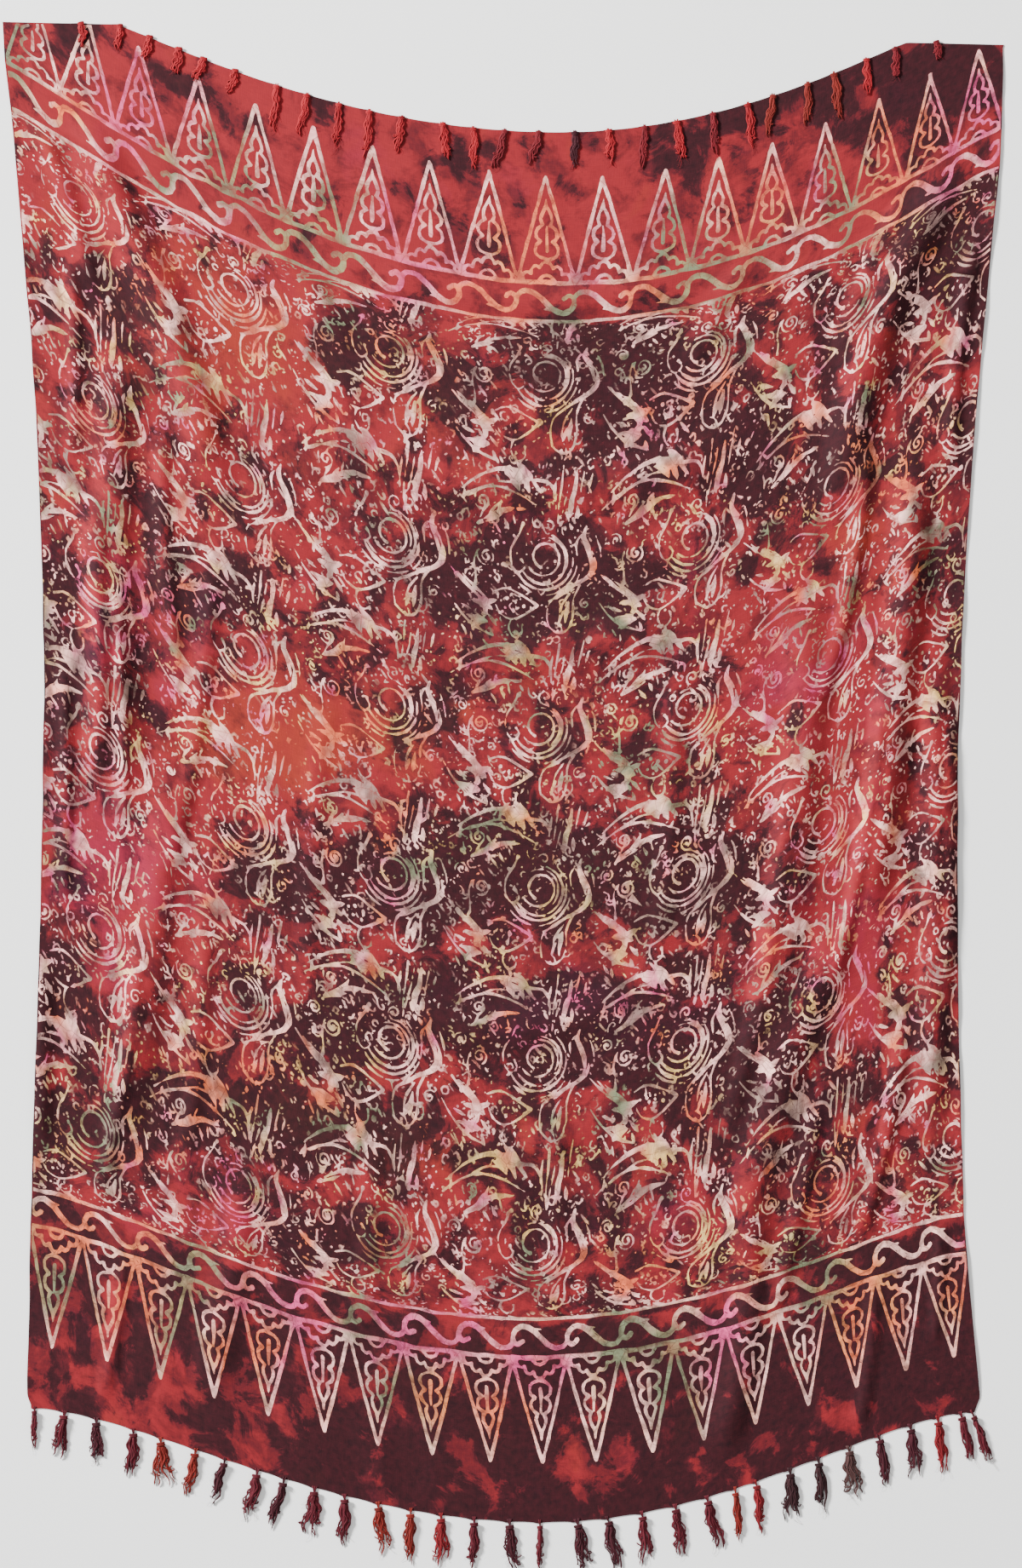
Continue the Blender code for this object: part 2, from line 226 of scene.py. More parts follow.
class Pen:
    """Draws in its own millimetres, placed on the cloth by a shift, a turn and a size."""

    def __init__(self, wax, x, y, turn=0.0, size=1.0, weight=1.0, rng=None, shake=0.0):
        self.wax, self.x, self.y, self.size = wax, x, y, size
        self.cos, self.sin = math.cos(math.radians(turn)), math.sin(math.radians(turn))
        self.weight, self.rng, self.shake = weight, rng, shake

    def place(self, point):
        x, y = point[0] * self.size, point[1] * self.size
        return self.x + x * self.cos - y * self.sin, self.y + x * self.sin + y * self.cos

    def line(self, points, widths, cut=False):
        """A stroke through points; widths is one width, or one for each end and the middle."""
        if self.rng and self.shake:
            slip_x, slip_y = (self.rng.gauss(0.0, self.shake) for _ in range(2))
            points = [(x + slip_x, y + slip_y) for x, y in points]
        placed = [self.place(point) for point in points]
        stops = np.atleast_1d(widths)
        shares = np.linspace(0.0, len(stops) - 1.0, max(len(placed), 2))
        radii = np.interp(shares, np.arange(len(stops)), stops) * self.size * self.weight / 2.0
        if len(placed) == 1:
            return self.wax.segment(placed[0], placed[0], radii[0], radii[0], cut)
        for index in range(len(placed) - 1):
            self.wax.segment(placed[index], placed[index + 1], radii[index], radii[index + 1], cut)

    def swing(self, points, widths, cut=False, per_span=4):
        """A stroke along the smooth curve through a few points."""
        self.line(curve(points, per_span), widths, cut)

    def dot(self, x, y, width):
        self.line([(x, y)], [width])

    def dots(self, *rows):
        """Drops of wax, by the x, y and width of each."""
        for x, y, width in rows:
            self.dot(x, y, width)

    def arc(self, x, y, radius, start, end, widths, cut=False, end_radius=None):
        """A stroke round (x, y) from one angle to another, in degrees."""
        last = radius if end_radius is None else end_radius
        steps = max(int(abs(end - start) * max(radius, last) / 200.0), 5)
        points = []
        for step in range(steps + 1):
            part = step / steps
            angle = math.radians(start + (end - start) * part)
            reach = radius + (last - radius) * part
            points.append((x + reach * math.cos(angle), y + reach * math.sin(angle)))
        self.line(points, widths, cut)

    def spiral(self, x, y, radius, turns, end, width, hand=-1):
        """A spiral with a ball at its heart that opens to a radius at the angle end."""
        start = end - hand * 360.0 * turns
        self.arc(x, y, radius * 0.16, start, end, [width * 1.15, width, width * 0.8], end_radius=radius)
        heart = math.radians(start)
        self.dot(x + radius * 0.16 * math.cos(heart), y + radius * 0.16 * math.sin(heart), width * 1.7)

    def hook(self, x, y, size, turn, width, hand=1):
        """A stem with a curl and a ball at its end."""
        angle = math.radians(turn)
        stem = [(0.0, 0.0), (0.5, 0.15 * hand), (0.95, 0.0), (1.12, -0.32 * hand), (0.9, -0.55 * hand)]
        stem.append((0.66, -0.38 * hand))
        points = [
            (x + size * (u * math.cos(angle) - v * math.sin(angle)),
             y + size * (u * math.sin(angle) + v * math.cos(angle)))
            for u, v in stem
        ]
        self.swing(points, [width * 0.7, width, width * 0.9], per_span=3)
        self.dot(*points[-1], width * 1.5)

    def blade(self, x, y, length, turn, width, bend=0.0, cut=False):
        """A leaf-shaped stroke that starts at (x, y)."""
        angle = math.radians(turn)
        ends = (0.0, 0.35, 0.7, 1.0)
        aside = (0.0, bend * 0.8, bend, 0.0)
        points = [
            (x + length * u * math.cos(angle) - v * math.sin(angle),
             y + length * u * math.sin(angle) + v * math.cos(angle))
            for u, v in zip(ends, aside)
        ]
        self.line(points, [width * 0.35, width, width * 0.9, width * 0.2], cut)

    def leaves(self, *rows):
        """Blades, by the x, y, length, turn and width of each."""
        for row in rows:
            self.blade(*row)

    def star(self, x, y, radius, rays, turn, width):
        """Blades of uneven length all round (x, y)."""
        for ray in range(rays):
            reach = radius * (0.65 + 0.35 * math.cos(ray * 2.3))
            self.blade(x, y, reach, turn + 360.0 * ray / rays, width)


# ---- The design: one stamp for the field, a tumpal and a wave scroll for the borders

STAMP_WIDTH, STAMP_HEIGHT = 180.0, 192.5
FIRST_EYE = (75.0, 1302.0)  # thread position of the top left spiral's eye
LINE_WIDTH = 5.0
TUMPALS = 18
TUMPAL_HEIGHT = 122.0


def eye_spiral(pen):
    """The big open spiral, the swooshes that trail round it, and the hatched patch below it."""
    pen.arc(0, 0, 11.5, -112, -508, [3.4, 3.2, 2.6], end_radius=22.0)
    pen.dot(-4.5, -10.8, 5.2)
    pen.arc(0, 0, 21.0, 118, -52, [1.6, 2.8, 1.6], end_radius=25.5)
    pen.arc(0, 0, 26.0, 78, -112, [1.4, 3.8, 3.4, 1.8], end_radius=31.0)
    pen.arc(0, 0, 32.0, 46, -124, [1.2, 3.0, 3.8, 1.6], end_radius=37.5)
    pen.arc(0, 0, 38.5, 10, -96, [1.0, 2.8, 1.6], end_radius=43.5)
    pen.arc(0, 0, 45.5, -22, -88, [0.8, 2.4, 1.0], end_radius=49.0)
    for radius, start, end, width in ((30, -92, -152, 4.4), (36.5, -98, -150, 4.8), (42.5, -100, -142, 3.6)):
        pen.arc(0, 0, radius, start, end, [width * 0.5, width, width * 0.4])
    for radius, start, end in ((33.2, -96, -150), (39.6, -98, -140)):
        pen.arc(0, 0, radius, start, end, [0.8, 1.9, 0.8], cut=True)


def stem_curls(pen):
    """The hooked stem left of the eye and the small curls and dots above it."""
    pen.swing([(-28, 34), (-32, 24), (-41, 9), (-40, -8), (-32, -17), (-24, -11), (-28, -3)], [3.2, 2.2, 2.6])
    pen.dot(-27, 35, 6.4)
    pen.dot(-28, -3, 4.8)
    pen.spiral(5, 34, 9.5, 1.3, -60, 2.4, hand=1)
    pen.arc(-19, 15, 3.8, 0, 330, [2.0])
    pen.hook(-16, 44, 11, -70, 2.4, hand=-1)
    pen.hook(23, 24, 9, 120, 2.2)
    pen.dots((-38, 22, 5.5), (-22, 24, 4.2), (-45, 33, 3.6), (-9, 27, 3.4), (-34, 3, 3.4), (-22, 3, 3.0),
             (-50, 14, 4.4), (17, 44, 3.8), (-6, 49, 3.2), (28, 36, 4.0))


def wing(pen):
    """The long feathered lines over the eye, with a blotch of wax at their crown."""
    pen.swing([(-112, 46), (-88, 62), (-60, 70), (-32, 64), (-6, 52)], [1.4, 3.2, 3.6, 1.6])
    pen.swing([(-104, 60), (-84, 76), (-58, 88), (-34, 88), (-16, 80)], [1.4, 4.2, 7.0, 4.0])
    pen.swing([(-98, 54), (-78, 66), (-56, 76), (-38, 76)], [1.2, 2.6, 2.2])
    pen.leaves((-44, 92, 26, -62, 12.0), (-34, 96, 24, -40, 11.0), (-50, 84, 26, -12, 10.0),
               (-28, 86, 22, -70, 8.0), (-20, 82, 20, -48, 6.0), (-36, 78, 18, 10, 9.0))
    pen.swing([(-14, 80), (2, 78), (10, 66), (11, 50)], [5.0, 3.6, 1.8])
    pen.swing([(-82, 30), (-66, 38), (-46, 48), (-24, 50)], [4.0, 9.5, 8.0, 2.4])
    pen.leaves((-80, 34, 20, 60, 3.4), (-70, 38, 20, 48, 3.0), (-58, 44, 16, 70, 2.6),
               (-62, 34, 16, -50, 3.6), (-50, 40, 14, -64, 3.2), (-40, 45, 13, -76, 3.0))
    pen.swing([(-76, 33), (-56, 42), (-36, 49)], [0.8, 1.5, 0.8], cut=True)
    pen.swing([(-92, 68), (-66, 81), (-44, 84)], [0.8, 1.4, 0.8], cut=True)
    pen.dots((-12, 66, 4.0), (-4, 63, 3.8), (-20, 68, 3.0), (2, 58, 3.0), (-26, 72, 2.8))


def side_spirals(pen):
    """The tight spirals beside the eye, with a stem and a column of small curls."""
    pen.spiral(-75, 53, 10.0, 1.7, 150, 2.4)
    pen.spiral(-94, 14, 8.5, 1.6, 200, 2.2, hand=1)
    pen.spiral(-70, -3, 11.5, 1.8, 140, 2.7)
    pen.swing([(-82, 2), (-85, -10), (-83, -24), (-83, -34)], [2.4, 2.2, 3.2])
    pen.dot(-83, -35, 5.0)
    pen.hook(-98, -4, 10, -40, 2.3)
    pen.hook(-96, -16, 9, -20, 2.2, hand=-1)
    pen.hook(-92, 30, 11, 70, 2.2)
    pen.blade(-99, 50, 15, 82, 3.4)
    pen.blade(-92, 38, 9, 100, 2.8)
    pen.dots((-58, 14, 3.6), (-84, 26, 3.6), (-60, -18, 3.4), (-76, -20, 3.8), (-103, 2, 3.4),
             (-62, 24, 4.4), (-106, 24, 4.0), (-90, -26, 3.2), (-74, 12, 3.0))


def blades(pen):
    """Upright blades and the long lines that meet below them."""
    pen.swing([(20, 96), (18, 74), (15, 52), (15, 28)], [3.2, 2.4, 1.4])
    pen.swing([(48, 102), (44, 82), (41, 64)], [1.2, 2.8, 1.2])
    pen.swing([(28, 92), (25, 72), (20, 52), (16, 34)], [1.2, 2.4, 1.4])
    pen.leaves((36, 92, 34, -96, 6.5), (31, 70, 26, -98, 8.5), (38, 58, 16, -86, 6.0),
               (12, 84, 26, -98, 3.6), (55, 88, 17, -104, 3.8), (24, 50, 12, -70, 4.4))
    pen.dots((30, 34, 5.4), (38, 30, 4.4), (35, 40, 3.4), (45, 42, 3.0), (50, 68, 3.8), (54, 58, 4.8),
             (58, 50, 3.0), (47, 54, 3.4), (62, 64, 3.4))
    pen.hook(40, 36, 12, 150, 2.2)


def bell(pen):
    """The wavy band right of the eye and the bell that hangs from its tail."""
    pen.swing([(50, 34), (47, 22), (54, 8), (60, -10), (54, -22), (36, -32), (18, -42)],
              [3.0, 7.0, 9.5, 10.5, 7.0, 4.6, 3.0])
    pen.swing([(44, 26), (38, 16), (40, 2)], [1.4, 4.2, 1.6])
    pen.swing([(60, 24), (66, 10), (68, -6)], [1.2, 3.2, 1.4])
    pen.swing([(54, 12), (59, -2), (57, -16)], [0.8, 2.0, 0.8], cut=True)
    pen.swing([(22, -40), (8, -50), (4, -64), (6, -78)], [3.0, 2.4, 2.8])
    pen.swing([(44, -30), (36, -46), (36, -66), (30, -82), (18, -86), (6, -78)], [3.0, 2.8, 2.4])
    pen.swing([(32, -40), (22, -54), (18, -70)], [2.0, 3.4, 1.4])
    pen.blade(30, -50, 26, -98, 6.5)
    pen.blade(24, -60, 18, -110, 4.2)
    pen.hook(14, -74, 12, -40, 2.2)
    pen.hook(42, -64, 13, -100, 2.4)
    pen.spiral(50, -52, 8.0, 1.3, 40, 2.2)
    pen.dots((28, -92, 3.8), (40, -84, 3.4), (48, -38, 4.0), (56, -34, 3.4), (10, -92, 3.4))


def pod(pen):
    """The pointed pod full of dots, with a curl under it."""
    pen.swing([(-60, -43), (-44, -38), (-24, -46), (-7, -55)], [2.4, 3.4, 2.8, 4.2])
    pen.swing([(-7, -55), (-22, -66), (-38, -73), (-52, -68), (-58, -58)], [4.2, 2.6, 2.4])
    pen.swing([(-38, -73), (-41, -84), (-34, -94), (-25, -90), (-25, -80)], [2.6, 2.6, 2.0])
    pen.dot(-25, -79, 4.6)
    pen.swing([(-33, -94), (-30, -100), (-31, -108)], [2.6, 2.0, 1.2])
    pen.dots((-44, -50, 5.6), (-34, -54, 4.8), (-24, -57, 6.0), (-47, -61, 4.4), (-36, -64, 5.4),
             (-52, -52, 3.8), (-28, -49, 3.4), (-16, -58, 3.4), (-44, -92, 3.6), (-50, -82, 4.4))
    pen.arc(-38, -58, 4.2, 100, 390, [1.8])


def fan(pen):
    """Slanting lines that run down into a spiky blotch, with a long curved rib under them."""
    for shift in range(4):
        start = (-116 + 9.0 * shift, -18 - 5.5 * shift)
        middle = (-98 + 7.0 * shift, -36 - 3.0 * shift)
        pen.swing([start, middle, (-78 + 3.0 * shift, -52)], [1.2, 3.2, 2.4])
    pen.star(-72, -58, 17, 7, 20, 7.5)
    pen.swing([(-114, -54), (-100, -72), (-82, -86), (-60, -94)], [1.6, 3.0, 4.6, 2.0])
    pen.star(-78, -78, 15, 6, 50, 8.5)
    pen.leaves((-100, -62, 18, -20, 5.5), (-94, -74, 20, -8, 6.0), (-64, -84, 12, -70, 4.8),
               (-98, -86, 15, -60, 3.6), (-66, -70, 18, -50, 5.2), (-88, -92, 13, -80, 3.4),
               (-74, -98, 11, -50, 3.2))
    for x, y, length, turn in ((-98, -60, 20, -28), (-86, -70, 18, -14), (-74, -84, 14, 30)):
        pen.blade(x, y, length, turn, 1.7, cut=True)
    pen.dots((-106, -44, 3.6), (-108, -72, 3.4), (-56, -76, 3.6), (-90, -44, 3.0), (-104, -96, 4.0))


def flecks(pen, rng):
    """Short dashes and drops between the figures, mostly along one slant."""
    for _ in range(44):
        x, y = rng.uniform(-112, 62), rng.uniform(-100, 98)
        turn = rng.gauss(58.0, 26.0)
        pen.blade(x, y, rng.uniform(3.0, 8.5), turn, rng.uniform(1.8, 3.6), rng.uniform(-0.6, 0.6))


def draw_field(wax, rng):
    """Stamps the field row by row, each time a little askew and unevenly waxed."""
    for row in range(-1, 7):
        for column in range(-1, 8):
            x = FIRST_EYE[0] + STAMP_WIDTH * column + rng.gauss(0.0, 1.4)
            y = FIRST_EYE[1] - STAMP_HEIGHT * row + rng.gauss(0.0, 1.6)
            pen = Pen(wax, x, y, rng.gauss(0.0, 1.3), rng.gauss(1.0, 0.008),
                      rng.gauss(0.82, 0.05), rng, 0.45)
            for draw in (wing, fan, eye_spiral, stem_curls, side_spirals, blades, bell, pod):
                draw(pen)
            flecks(pen, rng)


def tumpal(pen):
    """One tall triangle of the border with its flame, drawn upwards from its base."""
    half = WIDTH / TUMPALS / 2.0
    cloud_arch = [(27.0, 1.0), (26.0, 8.5), (21.0, 11.5), (17.0, 9.5), (16.5, 15.5), (11.5, 19.5),
                  (7.0, 16.5), (5.0, 22.0), (0.0, 24.0)]
    body = [(0.0, 27.5), (5.0, 28.0), (11.0, 31.5), (13.0, 37.0), (11.5, 43.5), (6.0, 47.5), (10.5, 50.5),
            (12.0, 56.0), (9.5, 62.5), (4.0, 66.5), (6.2, 71.0), (4.8, 79.0), (0.0, 89.0)]
    for side in (-1.0, 1.0):
        pen.line([(side * half, 0.0), (side * half * 0.53, 60.0), (0.0, TUMPAL_HEIGHT)], [4.4, 4.1, 4.4])
        pen.swing([(side * x, y) for x, y in cloud_arch], [3.8], per_span=3)
        pen.swing([(side * x, y) for x, y in body], [3.6, 4.0, 3.8], per_span=3)
    pen.arc(0.0, 0.0, 9.0, 0, 180, [3.8])
    pen.line([(0.0, 37.0), (0.0, 50.0), (0.0, 66.0)], [5.2, 4.4, 2.2])
    pen.line([(0.0, 87.0), (0.0, 97.0)], [4.6, 2.0])


def scroll(pen):
    """One wave of the running scroll: a curl with a ball, then a long falling tail."""
    crest = [(13.0, -5.0), (7.0, -8.0), (2.0, -2.0), (5.0, 8.0), (15.0, 13.0)]
    tail = [(27.0, 8.0), (38.0, -3.0), (50.0, -11.5), (62.0, -11.0), (68.0, -2.0)]
    pen.swing(crest + tail, [5.4, 6.2, 7.4, 7.0, 5.0], per_span=4)
    pen.dot(13.5, -4.0, 6.2)
    pen.blade(24.0, 10.0, 15.0, -4.0, 2.6)


def draw_borders(wax, rng):
    """Both borders: two lines, the wave scroll between them, and the row of tumpals."""
    unit = WIDTH / TUMPALS
    for base, line, outward in ((LOWER_BASE, LOWER_LINE, -1.0), (UPPER_BASE, UPPER_LINE, 1.0)):
        for along in (base, line):
            wobble = [(x, along + rng.gauss(0.0, 0.7)) for x in np.linspace(-6.0, WIDTH + 6.0, 60)]
            Pen(wax, 0.0, 0.0).swing(wobble, [LINE_WIDTH], per_span=2)
        for number in range(-1, TUMPALS + 1):
            turn = 0.0 if outward > 0 else 180.0
            weight = rng.gauss(0.95, 0.05)
            middle = (number + 0.5) * unit + rng.gauss(0.0, 0.6)
            tumpal(Pen(wax, middle, base, turn + rng.gauss(0.0, 0.7), 1.0, weight, rng, 0.35))
            start = number * unit + (unit if outward > 0 else 0.0)
            turned = 180.0 if outward > 0 else 0.0
            scroll(Pen(wax, start, (base + line) / 2.0, turned, 1.0, weight, rng, 0.3))


def soften(field, passes):
    """Rounds corners and joins as warm wax does."""
    for _ in range(passes):
        for axis in (0, 1):
            field = (np.roll(field, 1, axis) + 2.0 * field + np.roll(field, -1, axis)) / 4.0
    return field


def waxed_cloth():
    """The whole resist as a field of distances."""
    rng = random.Random(5)
    wax = Wax()
    draw_field(wax, rng)
    wax.keep_between(LOWER_LINE, UPPER_LINE)
    draw_borders(wax, rng)
    rows, columns = wax.field.shape
    uneven = 0.50 * cloud(rows, columns, 3.2, 3.2, 11) + 0.35 * cloud(rows, columns, 7.0, 7.0, 12)
    wax.field = soften(wax.field + uneven.astype(np.float32), 1)
    return wax


# ---- Outlines of the wax, and the mesh between them


def crossings(wax):
    """Points where the field changes sign, and the pairs of them that a cell joins."""
    field = wax.field
    under = field < 0.0
    across, upward = under[:, :-1] != under[:, 1:], under[:-1] != under[1:]
    j, i = np.nonzero(across)
    part = field[j, i] / (field[j, i] - field[j, i + 1])
    points = [np.column_stack((i + part, j))]
    flat_ids = np.full(across.shape, -1)
    flat_ids[j, i] = np.arange(len(i))
    l, k = np.nonzero(upward)
    part = field[l, k] / (field[l, k] - field[l + 1, k])
    points.append(np.column_stack((k, l + part)))
    steep_ids = np.full(upward.shape, -1)
    steep_ids[l, k] = np.arange(len(k)) + len(i)
    sides = np.stack((flat_ids[:-1], steep_ids[:, 1:], flat_ids[1:], steep_ids[:, :-1]), axis=-1)
    found = (sides >= 0).sum(axis=-1)
    two = np.sort(sides[found == 2], axis=-1)[:, 2:]
    j, i = np.nonzero(found == 4)
    middle = (field[j, i] + field[j + 1, i] + field[j, i + 1] + field[j + 1, i + 1]) < 0.0
    four = sides[j, i]
    same = middle == under[j, i]
    order = np.where(same[:, None], [[0, 1, 2, 3]], [[0, 3, 1, 2]])
    four = np.take_along_axis(four, order, axis=1)
    joins = np.concatenate((two, four[:, :2], four[:, 2:]))
    return np.concatenate(points) * STEP - MARGIN, joins


def loops(points, joins):
    """Chains of points, each following one outline."""
    both = np.concatenate((joins, joins[:, ::-1]))
    both = both[np.argsort(both[:, 0], kind="stable")]
    first = np.searchsorted(both[:, 0], np.arange(len(points) + 1))
    neighbours = both[:, 1].tolist()
    first = first.tolist()
    used = bytearray(len(points))
    chains = []
    for start in range(len(points)):
        if used[start]:
            continue
        chain, here = [], start
        while here is not None:
            used[here] = 1
            chain.append(here)
            near = neighbours[first[here] : first[here + 1]]
            here = next((n for n in near if not used[n]), None)
        chains.append(chain)
    return chains


def thinned(outline, tolerance):
    """The points of a closed outline that keep it within a tolerance."""
    count = len(outline)
    far = int(np.argmax(((outline - outline[0]) ** 2).sum(axis=1)))
    keep = {0, far}
    stack = [(0, far), (far, count)]
    closed = np.vstack((outline, outline[:1]))
    while stack:
        low, high = stack.pop()
        if high - low < 2:
            continue
        run = closed[high] - closed[low]
        length = math.hypot(run[0], run[1]) or 1e-9
        offset = closed[low + 1 : high] - closed[low]
        away = np.abs(offset[:, 0] * run[1] - offset[:, 1] * run[0]) / length
        worst = int(np.argmax(away))
        if away[worst] > tolerance:
            middle = low + 1 + worst
            keep.add(middle)
            stack += [(low, middle), (middle, high)]
    return outline[sorted(keep)]


def outlines(wax, tolerance, shortest):
    """The wax's outlines as closed polygons in thread millimetres."""
    points, joins = crossings(wax)
    found = []
    for chain in loops(points, joins):
        if len(chain) < shortest:
            continue
        polygon = thinned(points[chain], tolerance)
        if len(polygon) >= 3:
            found.append(polygon)
    return found


def sample(field, xs, ys, x, y):
    """Values of a grid at points, by bilinear interpolation."""
    i = np.clip((x - xs[0]) / (xs[1] - xs[0]), 0.0, len(xs) - 1.001)
    j = np.clip((y - ys[0]) / (ys[1] - ys[0]), 0.0, len(ys) - 1.001)
    i0, j0 = i.astype(int), j.astype(int)
    s, t = i - i0, j - j0
    low = field[j0, i0] * (1.0 - s) + field[j0, i0 + 1] * s
    high = field[j0 + 1, i0] * (1.0 - s) + field[j0 + 1, i0 + 1] * s
    return low * (1.0 - t) + high * t


# ---- How the cloth lies: the CAD panel's folds, and smaller creases between them

Fold = namedtuple("Fold", "name from_x from_y to_x to_y bow height half_width")
FOLDS = table(
    Fold,
    ("left_shoulder", -0.505, 0.8, -0.325, 0.33, 0.02, 0.01, 0.036),
    ("left_drape", -0.44, 0.56, -0.418, -0.06, -0.018, 0.008, 0.032),
    ("left_pleat", -0.476, 0.36, -0.466, 0.0, 0.004, 0.011, 0.022),
    ("left_low", -0.385, 0.08, -0.455, -0.43, 0.016, 0.007, 0.034),
    ("left_rolled_edge", -0.53, -0.18, -0.534, -0.42, 0.0, 0.006, 0.02),
    ("right_shoulder", 0.525, 0.735, 0.385, 0.3, -0.03, 0.011, 0.038),
    ("right_drape", 0.472, 0.43, 0.408, -0.18, 0.012, 0.011, 0.032),
    ("right_inner", 0.35, 0.26, 0.292, -0.33, 0.014, 0.008, 0.036),
    ("right_outer", 0.494, 0.22, 0.486, -0.43, 0.006, 0.008, 0.026),
    ("right_low", 0.4, -0.13, 0.268, -0.56, -0.02, 0.008, 0.036),
    ("lower_right", 0.286, -0.47, 0.246, -0.77, 0.01, 0.007, 0.03),
    ("lower_left", -0.3, -0.42, -0.345, -0.7, 0.008, 0.005, 0.034),
    ("swag_high", -0.3, 0.47, 0.33, 0.44, -0.105, 0.0045, 0.044),
    ("swag_middle", -0.285, 0.29, 0.27, 0.25, -0.11, 0.004, 0.044),
    ("swag_low", -0.25, -0.18, 0.2, -0.2, -0.08, 0.0035, 0.04),
)
CREASES = table(
    Fold,
    ("left_hang", -0.5, 0.64, -0.498, 0.38, 0.006, 0.0032, 0.014),
    ("left_inner_hang", -0.392, 0.45, -0.372, 0.12, -0.008, 0.003, 0.016),
    ("left_fine", -0.448, 0.26, -0.44, -0.06, 0.006, 0.0026, 0.011),
    ("left_outer_fine", -0.508, 0.18, -0.506, -0.15, 0.003, 0.003, 0.012),
    ("left_slant", -0.335, 0.3, -0.39, -0.11, 0.012, 0.0026, 0.017),
    ("left_low_fine", -0.42, -0.15, -0.47, -0.48, 0.008, 0.0028, 0.014),
    ("left_low_inner", -0.34, -0.08, -0.37, -0.44, 0.006, 0.0024, 0.018),
    ("left_foot", -0.44, -0.52, -0.462, -0.7, 0.004, 0.0024, 0.014),
    ("left_corner", -0.545, 0.79, -0.47, 0.56, 0.01, 0.003, 0.016),
    ("right_hang", 0.545, 0.66, 0.512, 0.36, -0.008, 0.0034, 0.015),
    ("right_corner", 0.47, 0.7, 0.38, 0.48, -0.012, 0.003, 0.017),
    ("right_inner_hang", 0.42, 0.42, 0.356, 0.08, 0.01, 0.0034, 0.016),
    ("right_fine", 0.438, 0.16, 0.372, -0.24, 0.008, 0.0034, 0.013),
    ("right_outer_fine", 0.512, 0.12, 0.508, -0.25, 0.003, 0.003, 0.011),
    ("right_slant", 0.33, 0.06, 0.25, -0.42, 0.01, 0.0028, 0.018),
    ("right_low_fine", 0.456, -0.26, 0.402, -0.52, 0.01, 0.0034, 0.014),
    ("right_low_inner", 0.36, -0.33, 0.3, -0.62, 0.008, 0.003, 0.015),
    ("right_foot", 0.424, -0.54, 0.404, -0.74, 0.006, 0.0026, 0.015),
    ("right_hem", 0.5, -0.48, 0.492, -0.64, 0.003, 0.0024, 0.012),
    ("middle_hang", 0.196, 0.18, 0.168, -0.24, 0.008, 0.002, 0.02),
    ("middle_left_hang", -0.2, 0.14, -0.228, -0.26, -0.006, 0.0018, 0.022),
    ("middle_low", 0.06, -0.32, 0.052, -0.64, 0.004, 0.0018, 0.02),
    ("middle_left_low", -0.15, -0.36, -0.168, -0.64, 0.005, 0.0018, 0.02),
    ("high_left", -0.28, 0.64, -0.18, 0.5, 0.01, 0.002, 0.022),
    ("high_right", 0.29, 0.62, 0.21, 0.48, -0.01, 0.002, 0.022),
    ("swag_top", -0.2, 0.64, 0.23, 0.61, -0.06, 0.0016, 0.03),
    ("swag_low_fine", -0.16, -0.36, 0.13, -0.37, -0.04, 0.0016, 0.026),
)
FOLD_TAPER = 0.22  # share of a fold's length over which each end dies away
BOW_STEPS = 24  # stretches in which the distance to a bowed fold is worked out
GRID_STEP = 0.004  # metres, of the grids over the spread cloth
GRID_XS, GRID_YS = np.arange(-0.62, 0.62, GRID_STEP), np.arange(-0.92, 0.92, GRID_STEP)
CREASE_SHARE = 1.4  # by which the creases are higher than their table says


class Relief:
    """The cloth's height over the ground, on a grid in metres."""

    def __init__(self):
        self.xs, self.ys = GRID_XS, GRID_YS
        rows, columns = len(self.ys), len(self.xs)
        self.height = np.zeros((rows, columns))
        for fold in FOLDS:
            self.raise_fold(fold, 1.0)
        for crease in CREASES:
            self.raise_fold(crease, CREASE_SHARE)
        for height, down, right, seed in ((0.00055, 19.0, 8.0, 31), (0.00035, 9.0, 5.0, 32),
                                          (0.00018, 3.5, 3.0, 33)):
            self.height += height * cloud(rows, columns, down, right, seed)
        self.height = np.maximum(self.height + 0.0004, 0.0)

    def raise_fold(self, fold, share):
        run_x, run_y = fold.to_x - fold.from_x, fold.to_y - fold.from_y
        length = math.hypot(run_x, run_y)
        along = np.arange(BOW_STEPS + 1) / BOW_STEPS
        aside = fold.bow * 4.0 * along * (1.0 - along)
        line_x = fold.from_x + run_x * along - run_y / length * aside + SHIFT_X
        line_y = fold.from_y + run_y * along + run_x / length * aside + SHIFT_Y
        reach = fold.half_width
        columns = slice(*np.searchsorted(self.xs, (line_x.min() - reach, line_x.max() + reach)))
        rows = slice(*np.searchsorted(self.ys, (line_y.min() - reach, line_y.max() + reach)))
        x, y = self.xs[None, columns], self.ys[rows, None]
        best = np.full((y.size, x.size), 1.0)
        place = np.zeros_like(best)
        for index in range(BOW_STEPS):
            ax, ay = line_x[index], line_y[index]
            bx, by = line_x[index + 1] - ax, line_y[index + 1] - ay
            part = np.clip(((x - ax) * bx + (y - ay) * by) / (bx * bx + by * by), 0.0, 1.0)
            distance = np.hypot(x - ax - bx * part, y - ay - by * part)
            nearer = distance < best
            best = np.where(nearer, distance, best)
            place = np.where(nearer, (index + part) / BOW_STEPS, place)
        end = np.minimum(np.minimum(place, 1.0 - place) / FOLD_TAPER, 1.0)
        taper = np.sin(math.pi / 2.0 * end) ** 2
        ridge = np.cos(math.pi / 2.0 * np.minimum(best / reach, 1.0)) ** 2
        self.height[rows, columns] += share * fold.height * taper * ridge

    def at(self, x, y):
        return sample(self.height, self.xs, self.ys, x, y)


relief = Relief()


